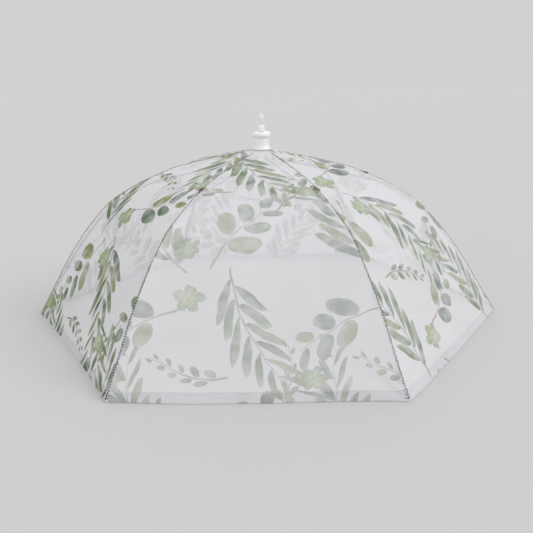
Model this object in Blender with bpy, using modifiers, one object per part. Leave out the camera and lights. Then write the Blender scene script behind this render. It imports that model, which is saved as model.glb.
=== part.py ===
"""Pop up mesh food cover: six wire ribs under a printed net canopy.

Metres, +Z up. The cover stands open on a table at z = 0, with its axis on Z
and one of its six corners on +X. Each rib hinges on a hub at the crown and
carries a stretcher at its knuckle, and the stretchers share one runner that
slides down the pull cord when the cover folds.
"""

import math

import bmesh
import bpy
from mathutils import Matrix, Vector

# Driving dimensions of the whole cover
RIB_COUNT = 6
CORNER_RADIUS = 0.300
CROWN_HEIGHT = 0.215
FOLD_ANGLE = math.radians(52.0)

# Canopy of net
NET_THICKNESS = 0.0008
HEM_CLEARANCE = 0.0008
PANEL_GAP = 0.0004
PANEL_STEPS_PER_SPAN = 2
PANEL_STEPS_ACROSS = 2

# The seam over each rib, as shares of the corner radius and of the height
SEAM_SHARES = (
    (0.025, 1.000),
    (0.175, 0.956),
    (0.345, 0.898),
    (0.446, 0.844),
    (0.548, 0.775),
    (0.656, 0.675),
    (0.754, 0.523),
    (0.846, 0.348),
    (0.923, 0.172),
    (1.000, 0.000),
)

# Clearances between pieces
SEAT_GAP = 0.0003
RUNNING_GAP = 0.0004
OVERRUN = 0.0020

# Rib wire, curled into an eye at the hub
RIB_WIRE_RADIUS = 0.0010
RIB_EYE_RADIUS = 0.0020
RIB_NET_GAP = 0.0005
KNUCKLE_RADIUS_SHARE = 0.443

# Stretcher wire, with an eye at each end
STRETCHER_WIRE_RADIUS = 0.0009
STRETCHER_EYE_RADIUS = 0.0019
EYE_TURN = math.radians(270.0)
EYE_STEPS = 8

# Hub under the crown of the net
HUB_RADIUS = 0.0120
HUB_HEIGHT = 0.0159
HUB_PIVOT_RADIUS = 0.0080
HUB_PIVOT_DROP = 0.0120
HUB_CHAMFER = 0.0010
RING_WIRE_RADIUS = 0.0006

# Knuckle clip: a sleeve on the rib with a rivet for the stretcher's eye
CLIP_LENGTH = 0.0090
CLIP_WALL = 0.0008
RIVET_RADIUS = 0.0006
RIVET_HEAD_RADIUS = 0.0014
RIVET_HEAD_LENGTH = 0.0007

# Thread whipped round the rib beside each clip
THREAD_RADIUS = 0.0004
THREAD_TURNS = 3
THREAD_STEPS_PER_TURN = 14
THREAD_PITCH = 0.00125

# Rib end pieces that stand on the table
TIP_RADIUS = 0.0022
TIP_LENGTH = 0.0120
TIP_SOCKET_DEPTH = 0.0065

# Pull cord and its knots
CORD_RADIUS = 0.0013
CORD_SPANS = 12
KNOT_RADIUS = 0.0037
KNOT_HEIGHT = 0.0145
LOWER_KNOT_RADIUS = 0.0036
LOWER_KNOT_HEIGHT = 0.0080
KNOT_SHARES = (
    (0.00, 1.00),
    (0.30, 0.92),
    (0.70, 0.80),
    (1.00, 0.64),
    (0.92, 0.48),
    (0.70, 0.34),
    (0.62, 0.16),
    (0.66, 0.00),
    (0.00, 0.00),
)
LOWER_KNOT_SHARES = (
    (0.00, 1.00),
    (0.55, 1.00),
    (0.95, 0.78),
    (1.00, 0.50),
    (0.85, 0.22),
    (0.40, 0.00),
    (0.00, 0.00),
)

# Top cap: skirt, neck and rounded flange, with a bead on top
CAP_SKIRT_RADIUS = 0.0120
CAP_SKIRT_LIP = 0.0010
CAP_SKIRT_HEIGHT = 0.0052
CAP_NECK_RADIUS = 0.0092
CAP_NECK_HEIGHT = 0.0084
CAP_FLANGE_RADIUS = 0.0116
CAP_FLANGE_HEIGHT = 0.0073
CAP_FLANGE_ROUND = 0.0018
CAP_SPIGOT_RADIUS = 0.0058
BEAD_RADIUS = 0.00425
BEAD_HEIGHT = 0.0080
BEAD_SHARES = (
    (1.00, 0.00),
    (0.98, 0.42),
    (0.86, 0.72),
    (0.64, 0.92),
    (0.46, 1.00),
)

# Runner, and the spacer tube that stops it under the hub
RUNNER_RADIUS = 0.0115
RUNNER_TOP_RISE = 0.0060
RUNNER_BASE = 0.0060
RUNNER_CHAMFER = 0.0008
TUBE_RADIUS = 0.0040

# Hinge line of each half panel of net, in its rib's upright plane
FLAP_AXIS_SLOPE = math.radians(40.4)
FLAP_AXIS_RISE = 0.0022

# Round counts and mesh limits
RING_STEPS = 32
SMALL_STEPS = 16
SMOOTH_ANGLE = math.radians(35.0)
MERGE_DISTANCE = 0.00002

# Values that follow from the sizes
LAST_PLACE = len(SEAM_SHARES) - 1
STEP_ANGLE = 2.0 * math.pi / RIB_COUNT
HALF_STEP = 0.5 * STEP_ANGLE
BORE_RADIUS = CORD_RADIUS + RUNNING_GAP
PIVOT_HEIGHT = CROWN_HEIGHT - HUB_PIVOT_DROP
HUB_TOP = CROWN_HEIGHT - NET_THICKNESS - SEAT_GAP
HUB_BOTTOM = HUB_TOP - HUB_HEIGHT
SLEEVE_BORE = RIB_WIRE_RADIUS + SEAT_GAP
SLEEVE_RADIUS = SLEEVE_BORE + CLIP_WALL
STRETCHER_OFFSET = SLEEVE_RADIUS + RUNNING_GAP + STRETCHER_WIRE_RADIUS
SIDEWAYS = Vector((0.0, 1.0, 0.0))


def seam_point(place):
    """Point of the seam at a place counted in table rows, in its rib's plane."""
    row = min(int(place), LAST_PLACE - 1)
    part = place - row
    rows = [min(max(row + shift, 0), LAST_PLACE) for shift in (-1, 0, 1, 2)]
    before, start, end, after = [Vector(SEAM_SHARES[index]) for index in rows]
    leave = 0.5 * (end - before)
    arrive = 0.5 * (after - start)
    square = part * part
    cube = square * part
    share = start * (2.0 * cube - 3.0 * square + 1.0)
    share += leave * (cube - 2.0 * square + part)
    share += end * (3.0 * square - 2.0 * cube)
    share += arrive * (cube - square)
    height = HEM_CLEARANCE + share.y * (CROWN_HEIGHT - HEM_CLEARANCE)
    return Vector((share.x * CORNER_RADIUS, 0.0, height))


def seam_slope(place):
    """Unit direction of the seam at a place, outward and down."""
    step = 1.0 / PANEL_STEPS_PER_SPAN
    high = min(place + step, LAST_PLACE)
    low = high - step
    return (seam_point(high) - seam_point(low)).normalized()


def under_net(place, radius, gap):
    """Centre of a round piece that runs under the ridge of the net."""
    slope = seam_slope(place)
    fall = slope.z / slope.x
    ridge_share = math.sqrt(1.0 + (fall * math.tan(HALF_STEP)) ** 2 / (1.0 + fall ** 2))
    depth = (NET_THICKNESS + gap + radius) * ridge_share
    inward = Vector((slope.z, 0.0, -slope.x))
    return seam_point(place) + inward * depth


def place_at_radius(radius):
    """Place at which the seam reaches a radius."""
    low = 0.0
    high = float(LAST_PLACE)
    for _ in range(40):
        middle = 0.5 * (low + high)
        if seam_point(middle).x < radius:
            low = middle
        else:
            high = middle
    return high


def unit_at(angle):
    """Unit direction in the rib's plane at an angle up from the radius."""
    return Vector((math.cos(angle), 0.0, math.sin(angle)))


# The rib's upper part runs straight from its eye through the knuckle clip
KNUCKLE_RADIUS = KNUCKLE_RADIUS_SHARE * CORNER_RADIUS
HUB_PIVOT = Vector((HUB_PIVOT_RADIUS, 0.0, PIVOT_HEIGHT))
SIDE_FALL = -seam_slope(place_at_radius(KNUCKLE_RADIUS)).z * math.tan(HALF_STEP)
STRETCHER_EYE_REACH = STRETCHER_EYE_RADIUS + STRETCHER_WIRE_RADIUS
KNUCKLE_REACH = STRETCHER_EYE_REACH + (STRETCHER_OFFSET + STRETCHER_WIRE_RADIUS) * SIDE_FALL
SHOULDER_PLACE = place_at_radius(KNUCKLE_RADIUS + 0.5 * CLIP_LENGTH)
SHOULDER = under_net(SHOULDER_PLACE, KNUCKLE_REACH, SEAT_GAP)
SHOULDER_SPAN = SHOULDER - HUB_PIVOT
SHOULDER_LEAN = math.asin(RIB_EYE_RADIUS / SHOULDER_SPAN.length)
RUN_ANGLE = math.atan2(SHOULDER_SPAN.z, SHOULDER_SPAN.x) - SHOULDER_LEAN
RUN = unit_at(RUN_ANGLE)
KNUCKLE = SHOULDER - RUN * 0.5 * CLIP_LENGTH

# Rib and stretcher are equal arms, so the runner's pivot stays on its line
ARM = (KNUCKLE - HUB_PIVOT).length
REST_SLOPE = math.asin((HUB_PIVOT.z - KNUCKLE.z) / ARM)
END_SLOPE = REST_SLOPE + FOLD_ANGLE
RUNNER_PIVOT = Vector((HUB_PIVOT.x, 0.0, 2.0 * KNUCKLE.z - HUB_PIVOT.z))
STROKE = 2.0 * ARM * (math.sin(END_SLOPE) - math.sin(REST_SLOPE))

# The runner follows the fold in proportion, and its slots take up the rest
PEAK_SLOPE = math.acos(STROKE / (2.0 * ARM * FOLD_ANGLE))
PEAK_DROP = 2.0 * ARM * (math.sin(PEAK_SLOPE) - math.sin(REST_SLOPE))
SLOT_TRAVEL = PEAK_DROP - STROKE * (PEAK_SLOPE - REST_SLOPE) / FOLD_ANGLE
RUNNER_TOP = RUNNER_PIVOT.z + RUNNER_TOP_RISE
SLOT_BOTTOM = RUNNER_PIVOT.z - SLOT_TRAVEL - STRETCHER_EYE_REACH - RUNNING_GAP
RUNNER_BOTTOM = SLOT_BOTTOM - RUNNER_BASE

# Heights up the cap
CAP_BOTTOM = CROWN_HEIGHT + SEAT_GAP
CAP_WAIST = CAP_BOTTOM + CAP_SKIRT_HEIGHT
FLANGE_BOTTOM = CAP_WAIST + CAP_NECK_HEIGHT
CAP_TOP = FLANGE_BOTTOM + CAP_FLANGE_HEIGHT
BEAD_BOTTOM = CAP_TOP + SEAT_GAP
BEAD_TOP = BEAD_BOTTOM + BEAD_HEIGHT

# Places of the net's hinge line and of the rib's foot
FLAP_SQUARE = unit_at(0.5 * math.pi - FLAP_AXIS_SLOPE)
FLAP_PIVOT = HUB_PIVOT + FLAP_SQUARE * FLAP_AXIS_RISE
TIP_AXIS = seam_slope(LAST_PLACE)
TIP_END = under_net(LAST_PLACE, TIP_RADIUS, SEAT_GAP)
TIP_FOOT = TIP_END - TIP_AXIS * (TIP_END.z / TIP_AXIS.z)

for old in list(bpy.data.objects):
    bpy.data.objects.remove(old, do_unlink=True)

PARTS = bpy.data.collections.new("mesh_food_cover")
bpy.context.scene.collection.children.link(PARTS)
CUTTERS = bpy.data.collections.new("mesh_food_cover_cutters")
bpy.context.scene.collection.children.link(CUTTERS)


def make_material(name, colour, roughness, metallic=0.0):
    """A Principled material with one plain colour."""
    material = bpy.data.materials.new(name)
    material.use_nodes = True
    shader = material.node_tree.nodes["Principled BSDF"]
    shader.inputs["Base Color"].default_value = (*colour, 1.0)
    shader.inputs["Roughness"].default_value = roughness
    shader.inputs["Metallic"].default_value = metallic
    return material


NET = make_material("printed_net", (0.74, 0.76, 0.77), 0.80)
STEEL = make_material("rib_steel", (0.20, 0.20, 0.21), 0.38, 1.0)
BRIGHT_STEEL = make_material("stretcher_steel", (0.55, 0.56, 0.58), 0.32, 1.0)
CLEAR_PLASTIC = make_material("cap_plastic", (0.84, 0.86, 0.88), 0.30)
WHITE_PLASTIC = make_material("hub_plastic", (0.80, 0.80, 0.79), 0.42)
CORD_COTTON = make_material("cord_cotton", (0.86, 0.84, 0.78), 0.85)
DARK_THREAD = make_material("tie_thread", (0.13, 0.09, 0.07), 0.80)


def smooth(mesh):
    """Shade a mesh smooth, with its real edges kept sharp."""
    mesh.shade_smooth()
    mesh.set_sharp_from_angle(angle=SMOOTH_ANGLE)


def link(name, mesh, material, parent=None):
    """Add a named part that shows a mesh in its own material."""
    part = bpy.data.objects.new(name, mesh)
    PARTS.objects.link(part)
    if not mesh.materials:
        mesh.materials.append(material)
    part.parent = parent
    return part


def pivot(name, spot, turn=0.0, parent=None):
    """An empty on a joint's axis, turned about Z."""
    empty = bpy.data.objects.new(name, None)
    empty.location = spot
    empty.rotation_euler = (0.0, 0.0, turn)
    empty.empty_display_size = HUB_RADIUS
    empty.parent = parent
    PARTS.objects.link(empty)
    return empty


def working(name, data):
    """A working object, which its finished mesh replaces."""
    helper = bpy.data.objects.new(name, data)
    helper.display_type = "WIRE"
    helper.hide_render = True
    CUTTERS.objects.link(helper)
    return helper


def finished(helper, spot, tools=()):
    """The welded mesh of a working object, with its origin at a spot."""
    graph = bpy.context.evaluated_depsgraph_get()
    mesh = bpy.data.meshes.new_from_object(helper.evaluated_get(graph))
    shape = bmesh.new()
    shape.from_mesh(mesh)
    bmesh.ops.remove_doubles(shape, verts=shape.verts, dist=MERGE_DISTANCE)
    bmesh.ops.recalc_face_normals(shape, faces=shape.faces)
    bmesh.ops.translate(shape, vec=-spot, verts=shape.verts)
    shape.to_mesh(mesh)
    shape.free()
    mesh.materials.clear()
    for used in (helper, *tools):
        bpy.data.objects.remove(used, do_unlink=True)
    smooth(mesh)
    return mesh


def from_bmesh(name, shape):
    """A working object that takes over a bmesh."""
    mesh = bpy.data.meshes.new(name)
    shape.to_mesh(mesh)
    shape.free()
    return working(name, mesh)


def turned(name, profile, closed=True, steps=RING_STEPS):
    """A profile of radius and height pairs turned about Z."""
    shape = bmesh.new()
    corners = [shape.verts.new((radius, 0.0, height)) for radius, height in profile]
    for start, end in zip(corners, corners[1:]):
        shape.edges.new((start, end))
    if closed:
        shape.edges.new((corners[-1], corners[0]))
    helper = from_bmesh(name, shape)
    screw = helper.modifiers.new("turn", "SCREW")
    screw.axis = "Z"
    screw.angle = 2.0 * math.pi
    screw.steps = steps
    screw.render_steps = steps
    screw.use_merge_vertices = True
    screw.merge_threshold = MERGE_DISTANCE
    return helper


def wire(name, points, radius, resolution=2):
    """A round wire through the points, as a poly curve with filled caps."""
    curve = bpy.data.curves.new(name, "CURVE")
    curve.dimensions = "3D"
    curve.bevel_depth = radius
    curve.bevel_resolution = resolution
    curve.use_fill_caps = True
    spline = curve.splines.new("POLY")
    spline.points.add(len(points) - 1)
    for control, point in zip(spline.points, points):
        control.co = (*point, 1.0)
    return working(name, curve)


def cylinder(name, radius, length, centre, axis):
    """A cylinder about an axis through its centre."""
    shape = bmesh.new()
    bmesh.ops.create_cone(
        shape,
        cap_ends=True,
        segments=SMALL_STEPS,
        radius1=radius,
        radius2=radius,
        depth=length,
    )
    turn = axis.to_track_quat("Z", "Y").to_matrix().to_4x4()
    bmesh.ops.transform(shape, matrix=Matrix.Translation(centre) @ turn, verts=shape.verts)
    return from_bmesh(name, shape)


def box(name, size, place):
    """A box of a size under a placing matrix."""
    shape = bmesh.new()
    bmesh.ops.create_cube(shape, size=1.0)
    bmesh.ops.scale(shape, vec=size, verts=shape.verts)
    bmesh.ops.transform(shape, matrix=place, verts=shape.verts)
    return from_bmesh(name, shape)


def boolean(target, tool, operation):
    """Join or cut one working object with another."""
    change = target.modifiers.new(tool.name, "BOOLEAN")
    change.operation = operation
    change.solver = "EXACT"
    change.object = tool


def ring_profile(outer, inner, bottom, top, chamfer):
    """Closed profile of a ring with its outer edges chamfered."""
    return (
        (outer - chamfer, top),
        (outer, top - chamfer),
        (outer, bottom + chamfer),
        (outer - chamfer, bottom),
        (inner, bottom),
        (inner, top),
    )


def eye_points(centre, radius, leave, turn):
    """Points round an eye, ending where the wire leaves it."""
    spots = []
    for step in range(EYE_STEPS + 1):
        angle = leave - turn * (1.0 - step / EYE_STEPS)
        spots.append(centre + unit_at(angle) * radius)
    return spots


def rib_mesh():
    """The rib wire, from its eye on the hub down into its end piece."""
    leave = RUN_ANGLE + 0.5 * math.pi
    points = eye_points(HUB_PIVOT, RIB_EYE_RADIUS, leave, -EYE_TURN)
    points.append(KNUCKLE)
    points.append(SHOULDER + RUN * OVERRUN)
    first = math.ceil(SHOULDER_PLACE) * PANEL_STEPS_PER_SPAN
    for step in range(first, LAST_PLACE * PANEL_STEPS_PER_SPAN):
        place = step / PANEL_STEPS_PER_SPAN
        points.append(under_net(place, RIB_WIRE_RADIUS, RIB_NET_GAP))
    points.append(TIP_FOOT - TIP_AXIS * (TIP_LENGTH + OVERRUN))
    points.append(TIP_FOOT - TIP_AXIS * (TIP_LENGTH - TIP_SOCKET_DEPTH + SEAT_GAP))
    return finished(wire("rib", points, RIB_WIRE_RADIUS), HUB_PIVOT)


def tip_mesh():
    """The end piece: a sleeve on the rib's end, cut flat at the table."""
    length = TIP_LENGTH + 2.0 * TIP_RADIUS
    centre = TIP_FOOT - TIP_AXIS * (TIP_LENGTH - 0.5 * length)
    body = cylinder("tip", TIP_RADIUS, length, centre, TIP_AXIS)
    reach = 2.0 * TIP_LENGTH
    under = Matrix.Translation(TIP_FOOT - Vector((0.0, 0.0, 0.5 * reach)))
    floor = box("tip_floor", (reach, reach, reach), under)
    depth = TIP_SOCKET_DEPTH + OVERRUN
    socket_centre = TIP_FOOT - TIP_AXIS * (TIP_LENGTH - TIP_SOCKET_DEPTH + 0.5 * depth)
    socket = cylinder("tip_socket", SLEEVE_BORE, depth, socket_centre, TIP_AXIS)
    boolean(body, floor, "DIFFERENCE")
    boolean(body, socket, "DIFFERENCE")
    return finished(body, HUB_PIVOT, (floor, socket))


def clip_mesh():
    """The clip: a sleeve round the rib with a headed rivet to one side."""
    sleeve = cylinder("clip", SLEEVE_RADIUS, CLIP_LENGTH, KNUCKLE, RUN)
    bore = cylinder("clip_bore", SLEEVE_BORE, CLIP_LENGTH + 2.0 * OVERRUN, KNUCKLE, RUN)
    start = SLEEVE_BORE + 0.5 * CLIP_WALL
    head_start = STRETCHER_OFFSET + STRETCHER_WIRE_RADIUS + RUNNING_GAP
    head_middle = head_start + 0.5 * RIVET_HEAD_LENGTH
    rivet_middle = KNUCKLE + SIDEWAYS * 0.5 * (start + head_middle)
    rivet = cylinder("clip_rivet", RIVET_RADIUS, head_middle - start, rivet_middle, SIDEWAYS)
    head_centre = KNUCKLE + SIDEWAYS * head_middle
    head = cylinder("clip_head", RIVET_HEAD_RADIUS, RIVET_HEAD_LENGTH, head_centre, SIDEWAYS)
    boolean(sleeve, bore, "DIFFERENCE")
    boolean(sleeve, rivet, "UNION")
    boolean(sleeve, head, "UNION")
    return finished(sleeve, HUB_PIVOT, (bore, rivet, head))


def tie_mesh():
    """Thread whipped round the rib on the hub's side of its clip."""
    upright = SIDEWAYS.cross(RUN)
    winding_radius = SLEEVE_BORE + THREAD_RADIUS
    start = 0.5 * CLIP_LENGTH + THREAD_RADIUS + RUNNING_GAP
    points = []
    for step in range(THREAD_TURNS * THREAD_STEPS_PER_TURN + 1):
        turns = step / THREAD_STEPS_PER_TURN
        angle = 2.0 * math.pi * turns
        around = SIDEWAYS * math.cos(angle) + upright * math.sin(angle)
        along = RUN * (start + THREAD_PITCH * turns)
        points.append(KNUCKLE - along + around * winding_radius)
    nearest = min(
        (points[step + THREAD_STEPS_PER_TURN] - points[step]).length
        for step in range(len(points) - THREAD_STEPS_PER_TURN)
    )
    print("rib tie: least gap between its turns", nearest - 2.0 * THREAD_RADIUS)
    return finished(wire("tie", points, THREAD_RADIUS, 1), HUB_PIVOT)


def stretcher_mesh():
    """The stretcher wire, with an eye at the knuckle and one at the runner."""
    shift = SIDEWAYS * STRETCHER_OFFSET
    span = RUNNER_PIVOT - KNUCKLE
    side = math.atan2(span.z, span.x) - 0.5 * math.pi
    near = eye_points(KNUCKLE, STRETCHER_EYE_RADIUS, side, EYE_TURN)
    far = eye_points(RUNNER_PIVOT, STRETCHER_EYE_RADIUS, side, -EYE_TURN)
    points = [point + shift for point in near + far[::-1]]
    return finished(wire("stretcher", points, STRETCHER_WIRE_RADIUS), KNUCKLE)


def panel_mesh(side):
    """One half panel of net, on one side of its rib."""
    chord = Vector((-math.sin(HALF_STEP), side * math.cos(HALF_STEP), 0.0))
    edge = NET_THICKNESS * math.tan(HALF_STEP) + 0.5 * PANEL_GAP / math.cos(HALF_STEP)
    shape = bmesh.new()
    bmesh.ops.create_grid(
        shape,
        x_segments=LAST_PLACE * PANEL_STEPS_PER_SPAN,
        y_segments=PANEL_STEPS_ACROSS,
        size=0.5,
    )
    for corner in shape.verts:
        ridge = seam_point((corner.co.x + 0.5) * LAST_PLACE)
        far = ridge.x * math.sin(HALF_STEP) - 0.5 * PANEL_GAP
        along = edge + (corner.co.y + 0.5) * (far - edge)
        corner.co = ridge + chord * along
    shape.normal_update()
    inside = [face for face in shape.faces if face.normal.z < 0.0]
    bmesh.ops.reverse_faces(shape, faces=inside)
    helper = from_bmesh("panel", shape)
    shell = helper.modifiers.new("shell", "SOLIDIFY")
    shell.thickness = NET_THICKNESS
    shell.offset = -1.0
    return finished(helper, FLAP_PIVOT)


def hub_mesh():
    """The hub, with a slot for each rib's eye and a groove for their ring."""
    net_edge = seam_point(place_at_radius(HUB_RADIUS / math.cos(HALF_STEP)))
    shoulder = HUB_TOP - (CROWN_HEIGHT - net_edge.z) - SEAT_GAP
    profile = (
        (HUB_RADIUS, shoulder),
        (HUB_RADIUS, HUB_BOTTOM + HUB_CHAMFER),
        (HUB_RADIUS - HUB_CHAMFER, HUB_BOTTOM),
        (BORE_RADIUS, HUB_BOTTOM),
        (BORE_RADIUS, HUB_TOP),
        (CAP_SPIGOT_RADIUS, HUB_TOP),
    )
    hub = turned("hub", profile)
    groove_reach = RING_WIRE_RADIUS + RUNNING_GAP
    groove = turned("hub_groove", ring_profile(
        HUB_PIVOT_RADIUS + groove_reach,
        HUB_PIVOT_RADIUS - groove_reach,
        HUB_BOTTOM - OVERRUN,
        PIVOT_HEIGHT + groove_reach,
        0.5 * RUNNING_GAP,
    ))
    boolean(hub, groove, "DIFFERENCE")
    slot_reach = RIB_EYE_RADIUS + RIB_WIRE_RADIUS + RUNNING_GAP
    tools = [groove]
    for index in range(RIB_COUNT):
        slot = slot_cutter(
            HUB_PIVOT_RADIUS - slot_reach,
            HUB_RADIUS + OVERRUN,
            RIB_WIRE_RADIUS + RUNNING_GAP,
            0.0,
            HUB_BOTTOM - OVERRUN,
            PIVOT_HEIGHT + slot_reach,
            index * STEP_ANGLE,
        )
        boolean(hub, slot, "DIFFERENCE")
        tools.append(slot)
    return finished(hub, Vector(), tools)


def slot_cutter(start, end, half_width, offset, bottom, top, turn):
    """A box cutter that runs outward beside a radius."""
    size = (end - start, 2.0 * half_width, top - bottom)
    centre = Vector((0.5 * (start + end), offset, 0.5 * (bottom + top)))
    place = Matrix.Rotation(turn, 4, "Z") @ Matrix.Translation(centre)
    return box("slot", size, place)


def runner_mesh():
    """The runner, with an open topped slot for each stretcher's eye."""
    sleeve = ring_profile(RUNNER_RADIUS, BORE_RADIUS, RUNNER_BOTTOM, RUNNER_TOP, RUNNER_CHAMFER)
    runner = turned("runner", sleeve)
    tools = []
    for index in range(RIB_COUNT):
        slot = slot_cutter(
            RUNNER_PIVOT.x - STRETCHER_EYE_REACH - RUNNING_GAP,
            RUNNER_RADIUS + OVERRUN,
            STRETCHER_WIRE_RADIUS + RUNNING_GAP,
            STRETCHER_OFFSET,
            SLOT_BOTTOM,
            RUNNER_TOP + OVERRUN,
            index * STEP_ANGLE,
        )
        boolean(runner, slot, "DIFFERENCE")
        tools.append(slot)
    return finished(runner, Vector((0.0, 0.0, RUNNER_PIVOT.z)), tools)


def cap_mesh():
    """The cap, turned with its bore for the cord."""
    profile = (
        (CAP_FLANGE_RADIUS - CAP_FLANGE_ROUND, CAP_TOP),
        (CAP_FLANGE_RADIUS - 0.3 * CAP_FLANGE_ROUND, CAP_TOP - 0.3 * CAP_FLANGE_ROUND),
        (CAP_FLANGE_RADIUS, CAP_TOP - CAP_FLANGE_ROUND),
        (CAP_FLANGE_RADIUS, FLANGE_BOTTOM + CAP_FLANGE_ROUND),
        (CAP_FLANGE_RADIUS - 0.3 * CAP_FLANGE_ROUND, FLANGE_BOTTOM + 0.3 * CAP_FLANGE_ROUND),
        (CAP_FLANGE_RADIUS - CAP_FLANGE_ROUND, FLANGE_BOTTOM),
        (CAP_NECK_RADIUS, FLANGE_BOTTOM),
        (CAP_NECK_RADIUS, CAP_WAIST),
        (CAP_SKIRT_RADIUS, CAP_BOTTOM + CAP_SKIRT_LIP),
        (CAP_SKIRT_RADIUS, CAP_BOTTOM),
        (CAP_SPIGOT_RADIUS, CAP_BOTTOM),
        (CAP_SPIGOT_RADIUS, HUB_TOP + SEAT_GAP),
        (BORE_RADIUS, HUB_TOP + SEAT_GAP),
        (BORE_RADIUS, CAP_TOP),
    )
    return finished(turned("cap", profile), Vector())


def bead_mesh():
    """The domed bead between the cap and the knot."""
    outer = [(BEAD_RADIUS * wide, BEAD_BOTTOM + BEAD_HEIGHT * high) for wide, high in BEAD_SHARES]
    profile = outer[::-1] + [(BORE_RADIUS, BEAD_BOTTOM), (BORE_RADIUS, BEAD_TOP)]
    return finished(turned("bead", profile), Vector())


def knot_mesh(name, shares, radius, height, bottom, spot):
    """A knot, turned from a table of shares."""
    profile = [(radius * wide, bottom + height * high) for wide, high in shares]
    return finished(turned(name, profile, closed=False, steps=SMALL_STEPS), spot)


def cord_mesh():
    """The pull cord, straight down the axis through every bore."""
    length = BEAD_TOP - RUNNER_BOTTOM
    spots = [BEAD_TOP - length * index / CORD_SPANS for index in range(CORD_SPANS + 1)]
    points = [Vector((0.0, 0.0, height)) for height in spots]
    return finished(wire("cord", points, CORD_RADIUS), Vector())


def ring_mesh():
    """The wire ring that the ribs' eyes turn on."""
    bpy.ops.mesh.primitive_torus_add(
        major_radius=HUB_PIVOT_RADIUS,
        minor_radius=RING_WIRE_RADIUS,
        major_segments=RING_STEPS,
        minor_segments=EYE_STEPS,
        location=(0.0, 0.0, PIVOT_HEIGHT),
    )
    ring = bpy.context.active_object
    shape = bmesh.new()
    shape.from_mesh(ring.data)
    bmesh.ops.transform(shape, matrix=Matrix.Translation(ring.location), verts=shape.verts)
    bpy.data.objects.remove(ring, do_unlink=True)
    return finished(from_bmesh("ring", shape), Vector())


def tube_mesh():
    """The spacer tube between the runner and the hub."""
    bottom = RUNNER_TOP + SEAT_GAP
    top = HUB_BOTTOM - SEAT_GAP
    return finished(turned("tube", ring_profile(TUBE_RADIUS, BORE_RADIUS, bottom, top, SEAT_GAP)), Vector())


def build_centre():
    """The pieces on the axis."""
    link("top_hub", hub_mesh(), WHITE_PLASTIC)
    link("hub_ring_wire", ring_mesh(), STEEL)
    link("centre_tube", tube_mesh(), WHITE_PLASTIC)
    link("top_cap", cap_mesh(), CLEAR_PLASTIC)
    link("cap_bead", bead_mesh(), CLEAR_PLASTIC)
    link("pull_cord", cord_mesh(), CORD_COTTON)
    upper = knot_mesh("knot", KNOT_SHARES, KNOT_RADIUS, KNOT_HEIGHT, BEAD_TOP + SEAT_GAP, Vector())
    link("cord_knot_top", upper, CORD_COTTON)
    slide = pivot("runner_slide", (0.0, 0.0, RUNNER_PIVOT.z))
    link("runner", runner_mesh(), WHITE_PLASTIC, slide)
    bottom = RUNNER_BOTTOM - SEAT_GAP - LOWER_KNOT_HEIGHT
    spot = Vector((0.0, 0.0, RUNNER_PIVOT.z))
    lower = knot_mesh(
        "lower_knot", LOWER_KNOT_SHARES, LOWER_KNOT_RADIUS, LOWER_KNOT_HEIGHT, bottom, spot
    )
    link("cord_knot_bottom", lower, CORD_COTTON, slide)


def build_ribs():
    """Six ribs with their fittings, stretchers and halves of net."""
    rib = rib_mesh()
    tip = tip_mesh()
    clip = clip_mesh()
    tie = tie_mesh()
    stretcher = stretcher_mesh()
    left = panel_mesh(1.0)
    right = panel_mesh(-1.0)
    for index in range(RIB_COUNT):
        number = index + 1
        turn = index * STEP_ANGLE
        spot = Matrix.Rotation(turn, 3, "Z") @ HUB_PIVOT
        fold = pivot(f"rib_{number}_fold", spot, turn)
        link(f"rib_{number}", rib, STEEL, fold)
        link(f"rib_clip_{number}", clip, STEEL, fold)
        link(f"rib_tie_{number}", tie, DARK_THREAD, fold)
        link(f"rib_tip_{number}", tip, WHITE_PLASTIC, fold)
        knuckle = pivot(f"stretcher_{number}_turn", KNUCKLE - HUB_PIVOT, parent=fold)
        link(f"stretcher_{number}", stretcher, BRIGHT_STEEL, knuckle)
        flap = pivot(f"net_{number}_turn", FLAP_PIVOT - HUB_PIVOT, parent=fold)
        link(f"net_panel_{number}_left", left, NET, flap)
        link(f"net_panel_{number}_right", right, NET, flap)


build_centre()
build_ribs()
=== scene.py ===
"""Looks of a pop up mesh food cover: a printed net canopy on six wire ribs.

Metres, +Z up. The cover stands open on the floor with one corner on +X and its
front hem towards -Y. The canopy is cut as six gores. Each gore is two half
gores that meet on its middle line.
"""

import logging
import math
from bisect import bisect_right
from dataclasses import dataclass, field
from enum import Enum
from typing import Any, Callable, Iterable, Sequence

import bmesh
import bpy
from mathutils import Matrix, Vector, noise


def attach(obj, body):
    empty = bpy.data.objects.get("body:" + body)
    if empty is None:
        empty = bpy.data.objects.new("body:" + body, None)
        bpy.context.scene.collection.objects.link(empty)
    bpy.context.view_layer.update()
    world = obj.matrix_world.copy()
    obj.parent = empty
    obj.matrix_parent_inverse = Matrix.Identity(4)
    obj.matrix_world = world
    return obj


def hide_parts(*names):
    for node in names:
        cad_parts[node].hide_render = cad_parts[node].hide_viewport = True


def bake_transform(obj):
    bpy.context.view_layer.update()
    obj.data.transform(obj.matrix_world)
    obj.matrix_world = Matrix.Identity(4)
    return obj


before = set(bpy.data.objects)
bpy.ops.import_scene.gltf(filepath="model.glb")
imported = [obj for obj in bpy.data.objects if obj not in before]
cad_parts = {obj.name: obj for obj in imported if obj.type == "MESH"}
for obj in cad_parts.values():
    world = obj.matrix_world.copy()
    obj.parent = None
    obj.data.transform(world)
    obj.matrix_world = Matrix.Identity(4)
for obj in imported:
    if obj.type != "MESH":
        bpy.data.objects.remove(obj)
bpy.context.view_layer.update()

LOG = logging.getLogger("mesh_food_cover")
Mesh = bmesh.types.BMesh
Piece = bpy.types.Object
Material = bpy.types.Material
Colour = tuple[float, float, float]
Profile = Sequence[tuple[float, float]]
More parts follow.
